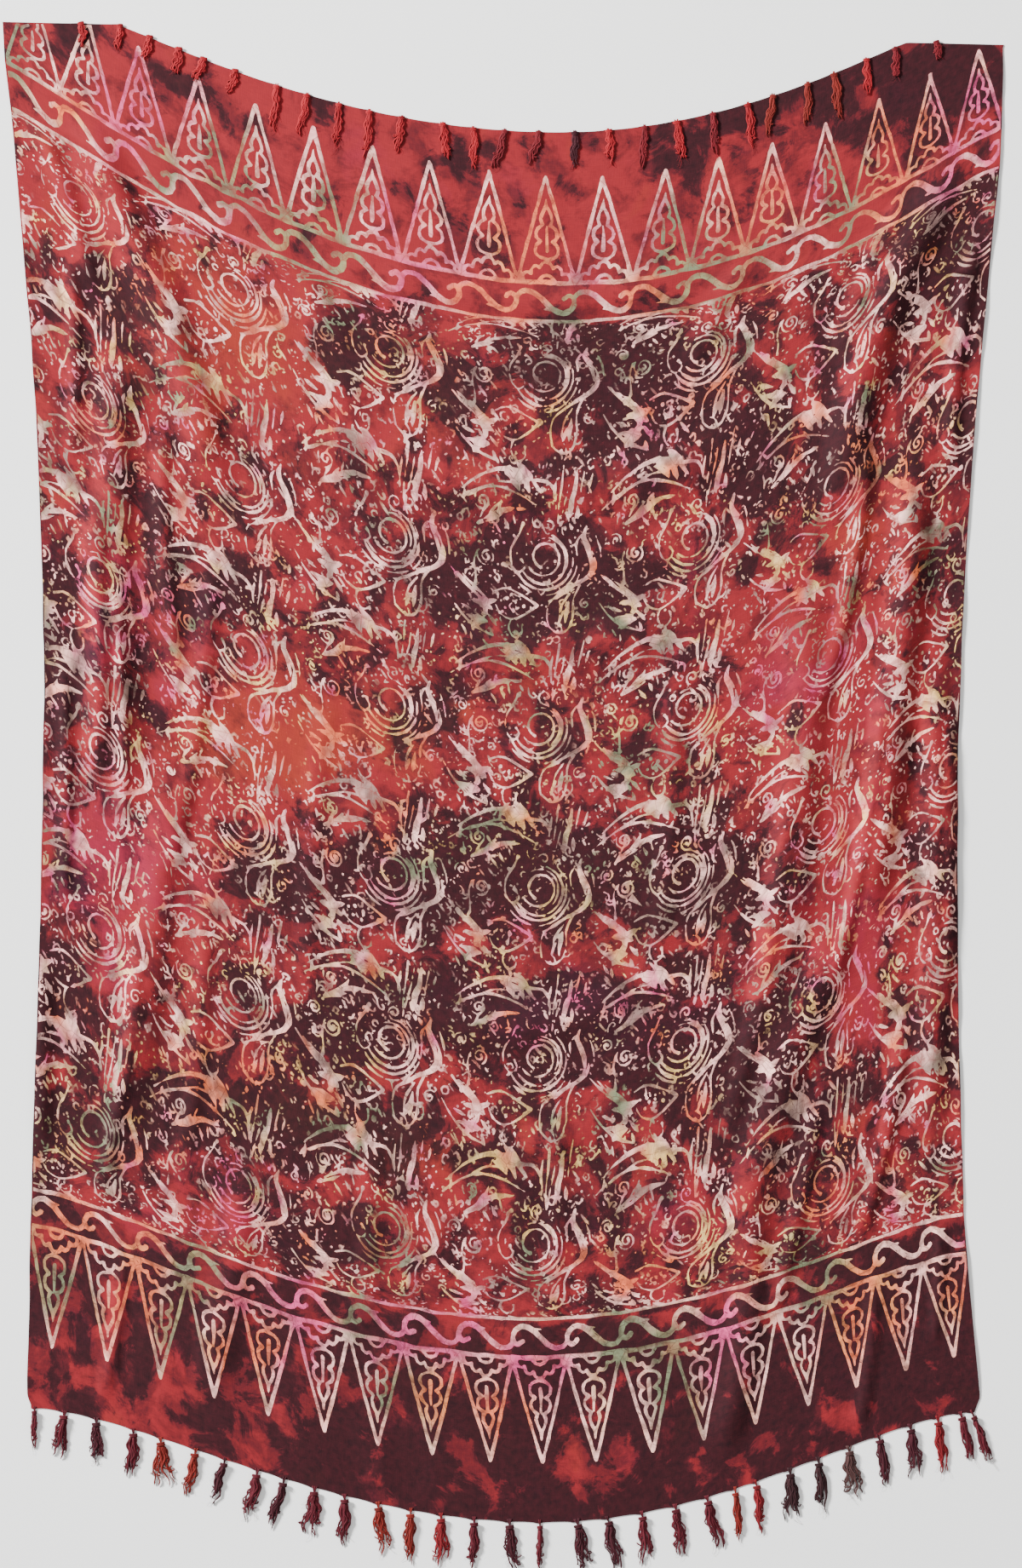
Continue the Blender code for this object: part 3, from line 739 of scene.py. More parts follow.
def calm(across, along):
    """1 over most of the cloth, 0 at its short edges, where the fringe holds it flat."""
    low = np.clip((along + 4.0) / 40.0, 0.0, 1.0)
    high = np.clip((top_thread(across) + 4.0 - along) / 90.0, 0.0, 1.0)
    return (low * low * (3.0 - 2.0 * low)) * (high * high * (3.0 - 2.0 * high))


def lie(across, along):
    """Where thread positions lie in space: arrays of x, y and the height of the underside."""
    across, along = np.asarray(across, float), np.asarray(along, float)
    x, y = spread(across, along)
    height = relief.at(x, y) * calm(across, along)
    for edge, phase in ((across, 0.0), (WIDTH - across, 2.1)):
        curl = 0.5 + 0.5 * np.sin(along / 61.0 + phase) * np.sin(along / 23.0 + 2.0 * phase)
        height += 0.0016 * curl * np.exp(-((edge / 9.0) ** 2)) * calm(across, along)
    return x, y, height + LIFT


def cloth_normals(across, along):
    """Unit normals of the lying cloth at thread positions."""
    nudge = 1.5
    left = np.stack(lie(across - nudge, along), axis=1)
    right = np.stack(lie(across + nudge, along), axis=1)
    near = np.stack(lie(across, along - nudge), axis=1)
    far = np.stack(lie(across, along + nudge), axis=1)
    normal = np.cross(right - left, far - near)
    return normal / (np.linalg.norm(normal, axis=1, keepdims=True) + 1e-12)


# ---- Dyes: where on the spread cloth each colour was dabbed, in metres

Patch = namedtuple("Patch", "x y wide high amount")
# How dark the ground is dyed: from 0, the plain red, to 1, nearly black maroon.
DARK_PATCHES = table(
    Patch,
    (0.49, 0.81, 0.1, 0.055, 0.75), (0.3, 0.8, 0.11, 0.045, 0.4), (-0.506, 0.855, 0.03, 0.03, 0.6),
    (0.52, 0.64, 0.05, 0.055, 0.95), (0.086, 0.513, 0.05, 0.04, 0.65), (-0.178, 0.513, 0.045, 0.04, 0.6),
    (-0.452, 0.581, 0.035, 0.055, 0.45), (-0.5, 0.67, 0.08, 0.07, -0.5),
    (-0.071, 0.454, 0.035, 0.035, 0.5), (0.165, 0.45, 0.08, 0.075, 0.45), (0.33, 0.4, 0.09, 0.06, 0.35),
    (0.007, 0.249, 0.07, 0.06, 0.6), (0.13, 0.22, 0.07, 0.05, 0.4), (-0.33, 0.24, 0.06, 0.04, 0.4),
    (0.01, -0.09, 0.27, 0.045, 0.6), (0.203, -0.084, 0.05, 0.05, 0.4), (0.06, -0.265, 0.25, 0.05, 0.55),
    (-0.149, -0.26, 0.04, 0.04, 0.4), (0.125, -0.279, 0.05, 0.04, 0.4), (-0.521, 0.171, 0.03, 0.07, 0.6),
    (-0.521, -0.26, 0.026, 0.09, 0.7), (-0.534, 0.0, 0.016, 0.56, 0.1), (-0.33, -0.37, 0.16, 0.03, 0.6),
    (0.53, 0.02, 0.026, 0.46, 0.12), (0.4, 0.06, 0.07, 0.3, -0.2), (0.3, -0.33, 0.06, 0.07, 0.45),
    (0.07, -0.48, 0.05, 0.04, 0.4), (-0.2, -0.52, 0.06, 0.04, 0.35), (-0.347, 0.82, 0.026, 0.02, 0.45),
    (-0.208, 0.782, 0.024, 0.02, 0.45), (-0.04, 0.743, 0.04, 0.018, 0.5),
    (0.095, 0.748, 0.026, 0.018, 0.5), (0.203, 0.728, 0.026, 0.018, 0.5), (-0.3, 0.52, 0.11, 0.08, -0.35),
    (-0.09, 0.425, 0.05, 0.04, -0.3), (-0.247, 0.073, 0.07, 0.06, -0.4), (0.34, 0.13, 0.07, 0.08, -0.3),
    (0.4, -0.18, 0.05, 0.09, -0.3), (-0.4, -0.09, 0.06, 0.12, -0.3),
)
# How far the ground leans from red to orange, or with a negative amount to a cold pink.
WARM_PATCHES = table(
    Patch,
    (-0.3, 0.52, 0.12, 0.09, 0.8), (-0.09, 0.425, 0.07, 0.05, 0.7), (-0.247, 0.073, 0.12, 0.06, 0.95),
    (-0.08, 0.09, 0.08, 0.04, 0.7), (-0.227, -0.357, 0.09, 0.04, 0.8), (-0.06, -0.42, 0.12, 0.04, 0.6),
    (-0.4, -0.7, 0.14, 0.06, 0.5), (0.09, 0.56, 0.09, 0.05, 0.5), (0.42, 0.33, 0.06, 0.08, 0.5),
    (0.34, 0.13, 0.08, 0.07, -0.5), (0.4, -0.15, 0.06, 0.11, -0.5), (-0.42, 0.18, 0.07, 0.07, -0.6),
    (-0.45, -0.09, 0.08, 0.12, -0.8), (0.0, 0.62, 0.18, 0.06, -0.5), (0.08, -0.25, 0.18, 0.05, -0.6),
    (-0.33, -0.48, 0.12, 0.04, -0.5), (0.2, -0.48, 0.12, 0.06, -0.3),
)
# Dyes that took on the waxed lines.
TINTS = {
    "pink": table(
        Patch,
        (-0.01, 0.61, 0.17, 0.055, 1.0), (-0.384, 0.19, 0.06, 0.06, 1.0), (-0.5, -0.065, 0.05, 0.12, 1.0),
        (0.516, 0.679, 0.05, 0.05, 0.9), (0.35, 0.171, 0.065, 0.065, 1.0),
        (-0.335, -0.465, 0.11, 0.032, 1.0), (-0.022, 0.127, 0.03, 0.05, 0.9),
        (-0.11, -0.592, 0.08, 0.03, 0.9), (0.1, -0.24, 0.16, 0.036, 0.7), (0.4, -0.12, 0.05, 0.11, 0.6),
        (0.18, 0.33, 0.07, 0.03, 0.7), (-0.48, 0.68, 0.04, 0.05, 0.6), (0.23, -0.61, 0.05, 0.03, 0.5),
    ),
    "green": table(
        Patch,
        (-0.364, 0.484, 0.04, 0.04, 1.0), (-0.227, 0.523, 0.11, 0.026, 0.8),
        (0.516, 0.229, 0.05, 0.06, 0.9), (-0.462, 0.366, 0.04, 0.045, 1.0),
        (0.164, 0.053, 0.07, 0.05, 0.9), (-0.227, -0.357, 0.12, 0.03, 0.9),
        (-0.149, -0.514, 0.05, 0.06, 1.0), (0.012, 0.161, 0.04, 0.04, 0.9),
        (-0.491, -0.377, 0.04, 0.05, 0.9), (0.12, 0.19, 0.07, 0.03, 0.8), (0.0, -0.06, 0.16, 0.026, 0.8),
        (0.32, 0.61, 0.08, 0.03, 0.7), (0.32, -0.56, 0.06, 0.04, 0.8), (-0.06, 0.3, 0.06, 0.03, 0.8),
        (0.3, 0.3, 0.06, 0.04, 0.6), (0.09, -0.38, 0.06, 0.026, 0.6),
    ),
    "peach": table(
        Patch,
        (-0.423, 0.572, 0.035, 0.045, 1.0), (-0.178, 0.083, 0.11, 0.045, 1.0),
        (-0.345, -0.318, 0.06, 0.04, 1.0), (0.007, -0.426, 0.06, 0.04, 1.0),
        (0.135, -0.553, 0.045, 0.035, 0.9), (0.34, -0.455, 0.055, 0.045, 0.9),
        (-0.12, 0.47, 0.06, 0.035, 0.8), (0.43, 0.36, 0.05, 0.05, 0.7), (-0.3, -0.6, 0.06, 0.04, 0.7),
        (0.06, 0.42, 0.06, 0.04, 0.6),
    ),
    "yellow": table(
        Patch,
        (0.53, 0.21, 0.03, 0.05, 0.9), (0.24, -0.54, 0.05, 0.035, 0.7), (-0.17, -0.3, 0.05, 0.026, 0.6),
        (0.06, 0.34, 0.04, 0.026, 0.6), (0.44, -0.56, 0.04, 0.04, 0.7),
    ),
    "grey": table(
        Patch,
        (0.01, -0.11, 0.24, 0.026, 0.6), (0.3, -0.36, 0.06, 0.06, 0.6), (0.52, 0.62, 0.05, 0.06, 0.8),
        (0.06, 0.5, 0.06, 0.03, 0.5), (-0.52, 0.16, 0.04, 0.08, 0.6),
    ),
}


CREAM = (0.95, 0.50, 0.44)
STAINS = {
    "pink": (0.58, 0.040, 0.18),
    "green": (0.090, 0.140, 0.070),
    "peach": (0.70, 0.13, 0.040),
    "yellow": (0.70, 0.44, 0.13),
    "grey": (0.20, 0.13, 0.11),
}
MARGIN_SPOTS = table(
    Patch,
    (0.379, -0.729, 0.034, 0.02, 0.6), (0.496, -0.7, 0.03, 0.018, 0.6),
    (0.232, -0.773, 0.034, 0.016, 0.6), (0.095, -0.778, 0.034, 0.018, 0.5),
    (-0.051, -0.807, 0.034, 0.014, 0.5),
)


def dabbed(patches, x, y):
    """How much of some patches' dye there is at points."""
    total = np.zeros(len(x))
    for patch in patches:
        across = (x - SHIFT_X - patch.x) / patch.wide
        up = (y - SHIFT_Y - patch.y) / patch.high
        total += patch.amount * np.exp(-(across * across + up * up))
    return total


class Feather:
    """Pushes points about, so that a round dab gets the ragged edge of dye in folded cloth."""

    def __init__(self, seed):
        self.xs, self.ys = GRID_XS, GRID_YS
        rows, columns = len(self.ys), len(self.xs)
        self.push = [
            0.022 * cloud(rows, columns, 14.0, 12.0, seed + turn)
            + 0.014 * cloud(rows, columns, 5.0, 4.0, seed + 2 + turn)
            for turn in range(2)
        ]
        self.grain = 0.55 * cloud(rows, columns, 9.0, 7.0, seed + 5)
        self.grain += 0.45 * cloud(rows, columns, 4.0, 3.0, seed + 6)

    def moved(self, x, y):
        shift_x, shift_y = (sample(push, self.xs, self.ys, x, y) for push in self.push)
        return x + shift_x, y + shift_y

    def grains(self, x, y):
        return sample(self.grain, self.xs, self.ys, x, y)


# The dye where two tumpals meet, from left to right.
UPPER_DABS = """green peach pink cream green green green pink cream peach pink cream green green cream green
    pink pink cream"""
LOWER_DABS = """green peach peach green pink pink cream pink cream pink pink green green pink cream green
    peach cream pink"""


def node_dabs():
    """Dabs of dye where the tumpals of each border meet, whose colour ran along the wax."""
    rng = random.Random(8)
    dabs = {name: [] for name in STAINS}
    for base, reach, names in ((UPPER_BASE, 0.5, UPPER_DABS), (LOWER_BASE, -0.5, LOWER_DABS)):
        for number, own in enumerate(names.split()):
            for lift, size in ((0.0, 0.024), (reach * TUMPAL_HEIGHT, 0.030), (-reach * 45.0, 0.024)):
                name = own if lift == 0.0 else rng.choice((own, own, "cream", "green", "pink", "peach"))
                across = np.array([(number + rng.uniform(-0.3, 0.3)) * WIDTH / TUMPALS])
                x, y = spread(across, np.array([base + lift + rng.uniform(-10.0, 10.0)]))
                if name in dabs:
                    place = (float(x[0]) - SHIFT_X, float(y[0]) - SHIFT_Y)
                    wide = size * rng.uniform(0.8, 1.3)
                    dabs[name].append(Patch(*place, wide, size * rng.uniform(0.9, 1.6), 1.0))
    return dabs


# How strongly each thing shows in the ground's depth and warmth and in the stains on the wax.
FIELD_FADE = 20.0  # millimetres over which the field's dyes fade in from its two lines
GRAIN_DEPTH, FIELD_DEPTH = 0.36, 0.16
FOOT_RUN = 120.0  # millimetres over which the lower border gets deeper
SPOT_CLEARING = 0.62  # by how much the margin's spots clear the ground's depth
FOOT_LINE_DEPTH = 0.32
GRAIN_WARMTH, BORDER_WARMTH = 0.35, 0.25
PATCH_STAIN, GRAIN_STAIN, STAIN_THRESHOLD = 1.8, 2.0, 0.22
BORDER_STAIN, DAB_STAIN, MOST_STAIN = 0.3, 1.7, 0.94
DYE_SEED, STAIN_SEED, STAIN_SEED_STEP = 51, 71, 9


def dyes(across, along):
    """Depth and warmth of the ground's dye, and the colour of the waxed lines, at points."""
    x, y = spread(across, along)
    share = share_of(across)
    feather = Feather(DYE_SEED)
    moved_x, moved_y = feather.moved(x, y)
    inside = np.clip((along - LOWER_LINE) / FIELD_FADE, 0.0, 1.0)
    inside = inside * np.clip((UPPER_LINE - along) / FIELD_FADE, 0.0, 1.0)
    depth = dabbed(DARK_PATCHES, moved_x, moved_y)
    depth = depth + GRAIN_DEPTH * feather.grains(x, y) + FIELD_DEPTH * inside
    foot = np.clip((LOWER_BASE + 20.0 - along) / FOOT_RUN, 0.0, 1.0)
    side = np.clip((share - 0.22) / 0.20, 0.0, 1.0)
    spots = SPOT_CLEARING * dabbed(MARGIN_SPOTS, moved_x, moved_y)
    depth += foot * (0.22 + side * (0.14 + 0.10 * share)) - spots
    depth += FOOT_LINE_DEPTH * np.clip((LOWER_LINE + 10.0 - along) / 30.0, 0.0, 1.0) * (1.0 - foot)
    warmth = dabbed(WARM_PATCHES, moved_x, moved_y) + GRAIN_WARMTH * feather.grains(y, x)
    warmth = warmth * (BORDER_WARMTH + (1.0 - BORDER_WARMTH) * inside)
    colour = np.tile(np.array(CREAM), (len(x), 1))
    dabs = node_dabs()
    for turn, (name, patches) in enumerate(TINTS.items()):
        grains = Feather(STAIN_SEED + STAIN_SEED_STEP * turn).grains(x, y)
        amount = PATCH_STAIN * dabbed(patches, moved_x, moved_y) + GRAIN_STAIN * grains
        amount = amount - STAIN_THRESHOLD
        amount = amount * (BORDER_STAIN + (1.0 - BORDER_STAIN) * inside)
        amount = amount + DAB_STAIN * dabbed(dabs[name], x, y)
        mixed = np.clip(amount, 0.0, 1.0) * MOST_STAIN
        colour += (np.array(STAINS[name]) - colour) * mixed[:, None]
    return depth, warmth, colour


# ---- The cloth's mesh

EDGE_STEP = 4.0  # millimetres between points along the cloth's edge
TUG = 2.0  # how far a tassel pulls the bottom edge down
FACE_TOLERANCE, BACK_TOLERANCE = 0.52, 1.8
FACE_SPACING, BACK_SPACING = 16.0, 18.0
BEND_LIMIT = 0.00016  # metres of bend over half a spacing where the lattice gets more points
WAX_ROOM = 2.0  # millimetres that the lattice's points stay away from the wax's outlines
LATTICE_LENGTH = 1605.0


def tassel_acrosses(prefix, along):
    """Thread positions across of the tassels along one edge."""
    acrosses = np.linspace(0.0, WIDTH, 800)
    x, _ = spread(acrosses, np.full(800, along))
    found = []
    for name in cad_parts:
        if name.startswith(prefix):
            start = max(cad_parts[name].data.vertices, key=lambda v: v.co.y).co
            found.append(float(np.interp(start.x, x, acrosses)))
    return np.array(sorted(found))


def tugged(acrosses, places, amount, reach):
    """How far the tassels pull the edge at thread positions across."""
    nearest = np.abs(acrosses[:, None] - places[None, :]).min(axis=1)
    return amount * np.exp(-nearest / reach)


class Edge:
    """The cloth's outline in thread positions, as four lines and one closed ring."""

    def __init__(self):
        steps = int(WIDTH / EDGE_STEP)
        acrosses = np.linspace(0.0, WIDTH, steps + 1)
        self.bottom = -tugged(acrosses, tassel_acrosses("tassel_bottom", 0.0), TUG, 5.0)
        edge = top_thread(acrosses)
        self.top = edge + tugged(acrosses, tassel_acrosses("tassel_top", UPPER_BASE), 0.8, 5.0)
        self.acrosses = acrosses
        self.heights = np.linspace(0.0, 1.0, int(1400.0 / EDGE_STEP) + 1)
        waver = cloud(len(self.heights), 2, 9.0, 1.0, 41)[:, 0] * 0.7 + 0.7
        self.left = waver
        self.right = WIDTH - waver[::-1]
        self.left_along = self.bottom[0] + (self.top[0] - self.bottom[0]) * self.heights
        self.right_along = self.bottom[-1] + (self.top[-1] - self.bottom[-1]) * self.heights
        self.left[[0, -1]], self.right[[0, -1]] = 0.0, WIDTH
        ring = np.concatenate((
            np.column_stack((acrosses[:-1], self.bottom[:-1])),
            np.column_stack((self.right[:-1], self.right_along[:-1])),
            np.column_stack((acrosses[:0:-1], self.top[:0:-1])),
            np.column_stack((self.left[:0:-1], self.left_along[:0:-1])),
        ))
        self.ring = np.round(ring, 2)

    def room(self, x, y):
        """How far points lie inside the outline, roughly; negative outside."""
        return np.minimum.reduce((
            y - np.interp(x, self.acrosses, self.bottom),
            np.interp(x, self.acrosses, self.top) - y,
            x - np.interp(y, self.left_along, self.left),
            np.interp(y, self.right_along, self.right) - x,
        ))


def skin(edge, wax, tolerance, spacing, shortest):
    """Triangles that fill the outline and follow the wax: points, triangles, which are waxed.

    A long straight outline of the wax stays one line here. Where the borders curve on the spread
    cloth, some long triangles of the coarse underside therefore turn over and lie on others.
    """
    polygons = outlines(wax, tolerance, shortest)
    xs, ys = np.arange(0.0, WIDTH, spacing / 2.0), np.arange(0.0, LATTICE_LENGTH, spacing / 2.0)
    x, y = (grid.ravel() for grid in np.meshgrid(xs, ys))
    j, i = (grid.ravel() for grid in np.indices((len(ys), len(xs))))
    wanted = ((i + j) % 2 == 0) & (j % 2 == 0) | (bend(x, y, spacing / 2.0) > BEND_LIMIT)
    clear = wanted & (np.abs(sample(wax.field, wax.xs, wax.ys, x, y)) > WAX_ROOM)
    clear &= edge.room(x, y) > spacing * 0.35
    points = [edge.ring] + polygons + [np.column_stack((x[clear], y[clear]))]
    joins, start = [], 0
    for polygon in points[:-1]:
        order = np.arange(len(polygon))
        joins.append(np.column_stack((order, np.roll(order, -1))) + start)
        start += len(polygon)
    places = [Vector(point) for point in np.concatenate(points).tolist()]
    made = delaunay_2d_cdt(places, np.concatenate(joins).tolist(), [], 0, 1e-4, False)
    flat = np.array([point[:] for point in made[0]])
    triangles = np.array([face for face in made[2] if len(face) == 3])
    a, b, c = (flat[triangles[:, corner]] for corner in range(3))
    size = (b[:, 0] - a[:, 0]) * (c[:, 1] - a[:, 1]) - (b[:, 1] - a[:, 1]) * (c[:, 0] - a[:, 0])
    triangles[size < 0.0] = triangles[size < 0.0][:, ::-1]
    middle = (a + b + c) / 3.0
    keep = (edge.room(middle[:, 0], middle[:, 1]) > 0.0) & (np.abs(size) > 1e-7)
    triangles, middle = triangles[keep], middle[keep]
    waxed = sample(wax.field, wax.xs, wax.ys, middle[:, 0], middle[:, 1]) < 0.0
    return flat, triangles, waxed


def bend(across, along, reach):
    """How far the lying cloth leaves a straight line over a reach to both sides."""
    middle = lie(across, along)[2]
    most = np.zeros(len(middle))
    for off_x, off_y in ((reach, 0.0), (0.0, reach)):
        ends = lie(across + off_x, along + off_y)[2] + lie(across - off_x, along - off_y)[2]
        most = np.maximum(most, np.abs(ends / 2.0 - middle))
    return most


def tucked(flat, triangles, height):
    """The underside's heights, lowered where its triangles would rise through the cloth."""
    middles = ((1 / 3, 1 / 3, 1 / 3), (0.5, 0.5, 0.0), (0.0, 0.5, 0.5), (0.5, 0.0, 0.5))
    for _ in range(5):
        drop = np.zeros(len(height))
        for weights in middles:
            place = sum(w * flat[triangles[:, corner]] for corner, w in enumerate(weights))
            level = sum(w * height[triangles[:, corner]] for corner, w in enumerate(weights))
            over = np.maximum(level - lie(place[:, 0], place[:, 1])[2], 0.0)
            for corner in range(3):
                np.maximum.at(drop, triangles[:, corner], over)
        height = np.maximum(height - drop, LIFT)
    return height


def ring_ids(points, ring):
    """The index of each of the ring's points among a skin's points."""
    keys = np.round(points * 100.0).astype(int).tolist()
    found = {tuple(key): index for index, key in enumerate(keys)}
    return np.array([found[tuple(key)] for key in np.round(ring * 100.0).astype(int).tolist()])


def cloth_mesh():
    """The cloth as one thin shell, its upper and lower skin joined by a rim."""
    edge = Edge()
    wax = waxed_cloth()
    grid_x, grid_y = np.meshgrid(wax.xs, wax.ys)
    room = edge.room(grid_x.ravel(), grid_y.ravel()).reshape(grid_x.shape)
    wax.field = np.maximum(wax.field, np.clip(1.6 - room, -FAR, FAR))
    face = skin(edge, wax, FACE_TOLERANCE, FACE_SPACING, 6)
    back = skin(edge, wax, BACK_TOLERANCE, BACK_SPACING, 50)
    count = len(face[0])
    flat = np.concatenate((face[0], back[0]))
    x, y, z = lie(flat[:, 0], flat[:, 1])
    z[count:] = tucked(back[0], back[1], z[count:])
    z[:count] += SHELL
    front, rear = ring_ids(face[0], edge.ring), ring_ids(back[0], edge.ring) + count
    front_next, rear_next = np.roll(front, -1), np.roll(rear, -1)
    rim = np.concatenate((
        np.column_stack((rear, rear_next, front_next)), np.column_stack((rear, front_next, front))
    ))
    triangles = np.concatenate((face[1], back[1][:, ::-1] + count, rim))
    waxed = np.concatenate((face[2], back[2], np.zeros(len(rim), bool)))
    mesh = bpy.data.meshes.new("sarong_cloth")
    mesh.vertices.add(len(flat))
    mesh.vertices.foreach_set("co", np.column_stack((x, y, z)).ravel())
    mesh.loops.add(triangles.size)
    mesh.loops.foreach_set("vertex_index", triangles.ravel())
    mesh.polygons.add(len(triangles))
    mesh.polygons.foreach_set("loop_start", np.arange(0, triangles.size, 3))
    mesh.polygons.foreach_set("material_index", waxed.astype(np.int32))
    mesh.polygons.foreach_set("use_smooth", np.ones(len(triangles), bool))
    mesh.update(calc_edges=True)
    add_attributes(mesh, flat)
    add_bake_map(mesh, flat, triangles, waxed)
    normals = cloth_normals(flat[:, 0], flat[:, 1])
    normals[count:] *= -1.0
    corners = normals[triangles.ravel()]
    outward = np.column_stack((x[front] - x.mean(), y[front] - y.mean(), np.zeros(len(front))))
    outward /= np.linalg.norm(outward, axis=1, keepdims=True)
    corners[-rim.size :] = np.repeat(np.concatenate((outward, outward)), 3, axis=0)
    mesh.normals_split_custom_set(corners.tolist())
    return mesh


def add_attributes(mesh, flat):
    """The dyes and the thread positions, for the materials."""
    depth, warmth, colour = dyes(flat[:, 0], flat[:, 1])
    for name, values in (("depth", depth), ("warmth", warmth)):
        mesh.attributes.new(name, "FLOAT", "POINT").data.foreach_set("value", values)
    thread = np.column_stack((flat / 1000.0, np.zeros(len(flat))))
    mesh.attributes.new("thread", "FLOAT_VECTOR", "POINT").data.foreach_set("vector", thread.ravel())
    rgba = np.column_stack((colour, np.ones(len(flat))))
    mesh.attributes.new("stain", "FLOAT_COLOR", "POINT").data.foreach_set("color", rgba.ravel())


def add_bake_map(mesh, flat, triangles, waxed):
    """A map with the ground in one half and the waxed lines in the other, for the export."""
    across, along = flat[:, 0] / WIDTH, (flat[:, 1] + 6.0) / 1620.0
    corners = triangles.ravel()
    u = 0.005 + 0.49 * across[corners] + 0.5 * np.repeat(waxed, 3)
    layer = mesh.uv_layers.new(name="OFBake")
    layer.data.foreach_set("uv", np.column_stack((u, along[corners])).ravel())


# ---- Materials


class Nodes:
    """A short way to build a material's node tree."""

    def __init__(self, name, roughness, sheen, specular):
        self.material = bpy.data.materials.new(name)
        self.material.use_nodes = True
        self.tree = self.material.node_tree
        self.shader = self.tree.nodes["Principled BSDF"]
        self.shader.inputs["Roughness"].default_value = roughness
        self.shader.inputs["Sheen Weight"].default_value = sheen
        self.shader.inputs["Sheen Roughness"].default_value = 0.45
        self.shader.inputs["Specular IOR Level"].default_value = specular

    def link(self, source, target):
        self.tree.links.new(source, target)

    def put(self, socket, value):
        if hasattr(value, "links"):
            self.link(value, socket)
        else:
            socket.default_value = value

    def add(self, kind, **inputs):
        """A node of a kind, with some of its inputs linked or set."""
        node = self.tree.nodes.new("ShaderNode" + kind)
        for name, value in inputs.items():
            self.put(node.inputs[name], value)
        return node

    def attribute(self, name, output):
        node = self.add("Attribute")
        node.attribute_name = name
        return node.outputs[output]

    def math(self, operation, a, b=0.0, c=0.0):
        node = self.add("Math")
        node.operation = operation
        for socket, value in zip(node.inputs, (a, b, c)):
            self.put(socket, value)
        return node.outputs[0]

    def stretch(self, vector, scale, turn=0.0):
        return self.add("Mapping", Vector=vector, Rotation=(0.0, 0.0, turn), Scale=scale).outputs[0]

    def shift(self, vector, amount):
        return self.add("Mapping", Vector=vector, Location=(amount, amount, 0.0)).outputs[0]

    def noise(self, vector, scale, detail=2.0, distortion=0.0, roughness=0.5):
        return self.add("TexNoise", Vector=vector, Scale=scale, Detail=detail,
                        Distortion=distortion, Roughness=roughness).outputs[0]

    def cracks(self, vector, scale):
        node = self.add("TexVoronoi", Vector=vector, Scale=scale)
        node.feature = "DISTANCE_TO_EDGE"
        return node.outputs["Distance"]

    def ramp(self, value, colours):
        """The colours of a ramp at RAMP_PLACES."""
        node = self.add("ValToRGB")
        self.put(node.inputs[0], value)
        elements = node.color_ramp.elements
        while len(elements) < len(colours):
            elements.new(0.5)
        for element, place, colour in zip(elements, RAMP_PLACES, colours):
            element.position = place
            element.color = (*colour, 1.0)
        return node.outputs[0]

    def range(self, value, low, high, to_low=0.0, to_high=1.0):
        node = self.add("MapRange")
        for socket, number in zip(node.inputs, (value, low, high, to_low, to_high)):
            self.put(socket, number)
        return node.outputs[0]

    def mix(self, factor, a, b, blend="MIX"):
        node = self.add("Mix", Factor=factor)
        node.data_type = "RGBA"
        node.blend_type = blend
        for socket, colour in ((node.inputs[6], a), (node.inputs[7], b)):
            self.put(socket, colour if hasattr(colour, "links") else (*colour, 1.0))
        return node.outputs[2]

    def bump(self, height, strength, distance):
        node = self.add("Bump", Strength=strength, Distance=distance, Height=height)
        self.link(node.outputs[0], self.shader.inputs["Normal"])

    def finish(self, colour):
        self.link(colour, self.shader.inputs["Base Color"])
        return self.material


# The ground's colours from thin dye to deep dye, and where on a ramp each stands.
RAMP_PLACES = (0.00, 0.22, 0.42, 0.62, 0.80, 1.00)
RED_RAMP = ((0.222, 0.012, 0.016), (0.186, 0.011, 0.015), (0.128, 0.009, 0.012), (0.070, 0.006, 0.010),
            (0.036, 0.004, 0.007), (0.014, 0.002, 0.004))
ORANGE_RAMP = ((0.275, 0.030, 0.013), (0.230, 0.025, 0.012), (0.155, 0.019, 0.011), (0.080, 0.011, 0.009),
               (0.040, 0.007, 0.007), (0.015, 0.004, 0.004))
PINK_RAMP = ((0.240, 0.011, 0.034), (0.195, 0.009, 0.029), (0.125, 0.008, 0.023), (0.066, 0.005, 0.016),
             (0.034, 0.003, 0.011), (0.014, 0.002, 0.006))
SLANT = math.radians(-32.0)  # of the fine strokes, from upright


def weave(nodes, thread):
    """The cloth's fine uneven weave, as a bump."""
    slub = nodes.noise(nodes.stretch(thread, (60.0, 900.0, 1.0)), 1.0, 2.0)
    warp = nodes.noise(nodes.stretch(thread, (1000.0, 90.0, 1.0)), 1.0, 1.0)
    nodes.bump(nodes.math("ADD", slub, warp), 0.35, 0.0003)
    return slub


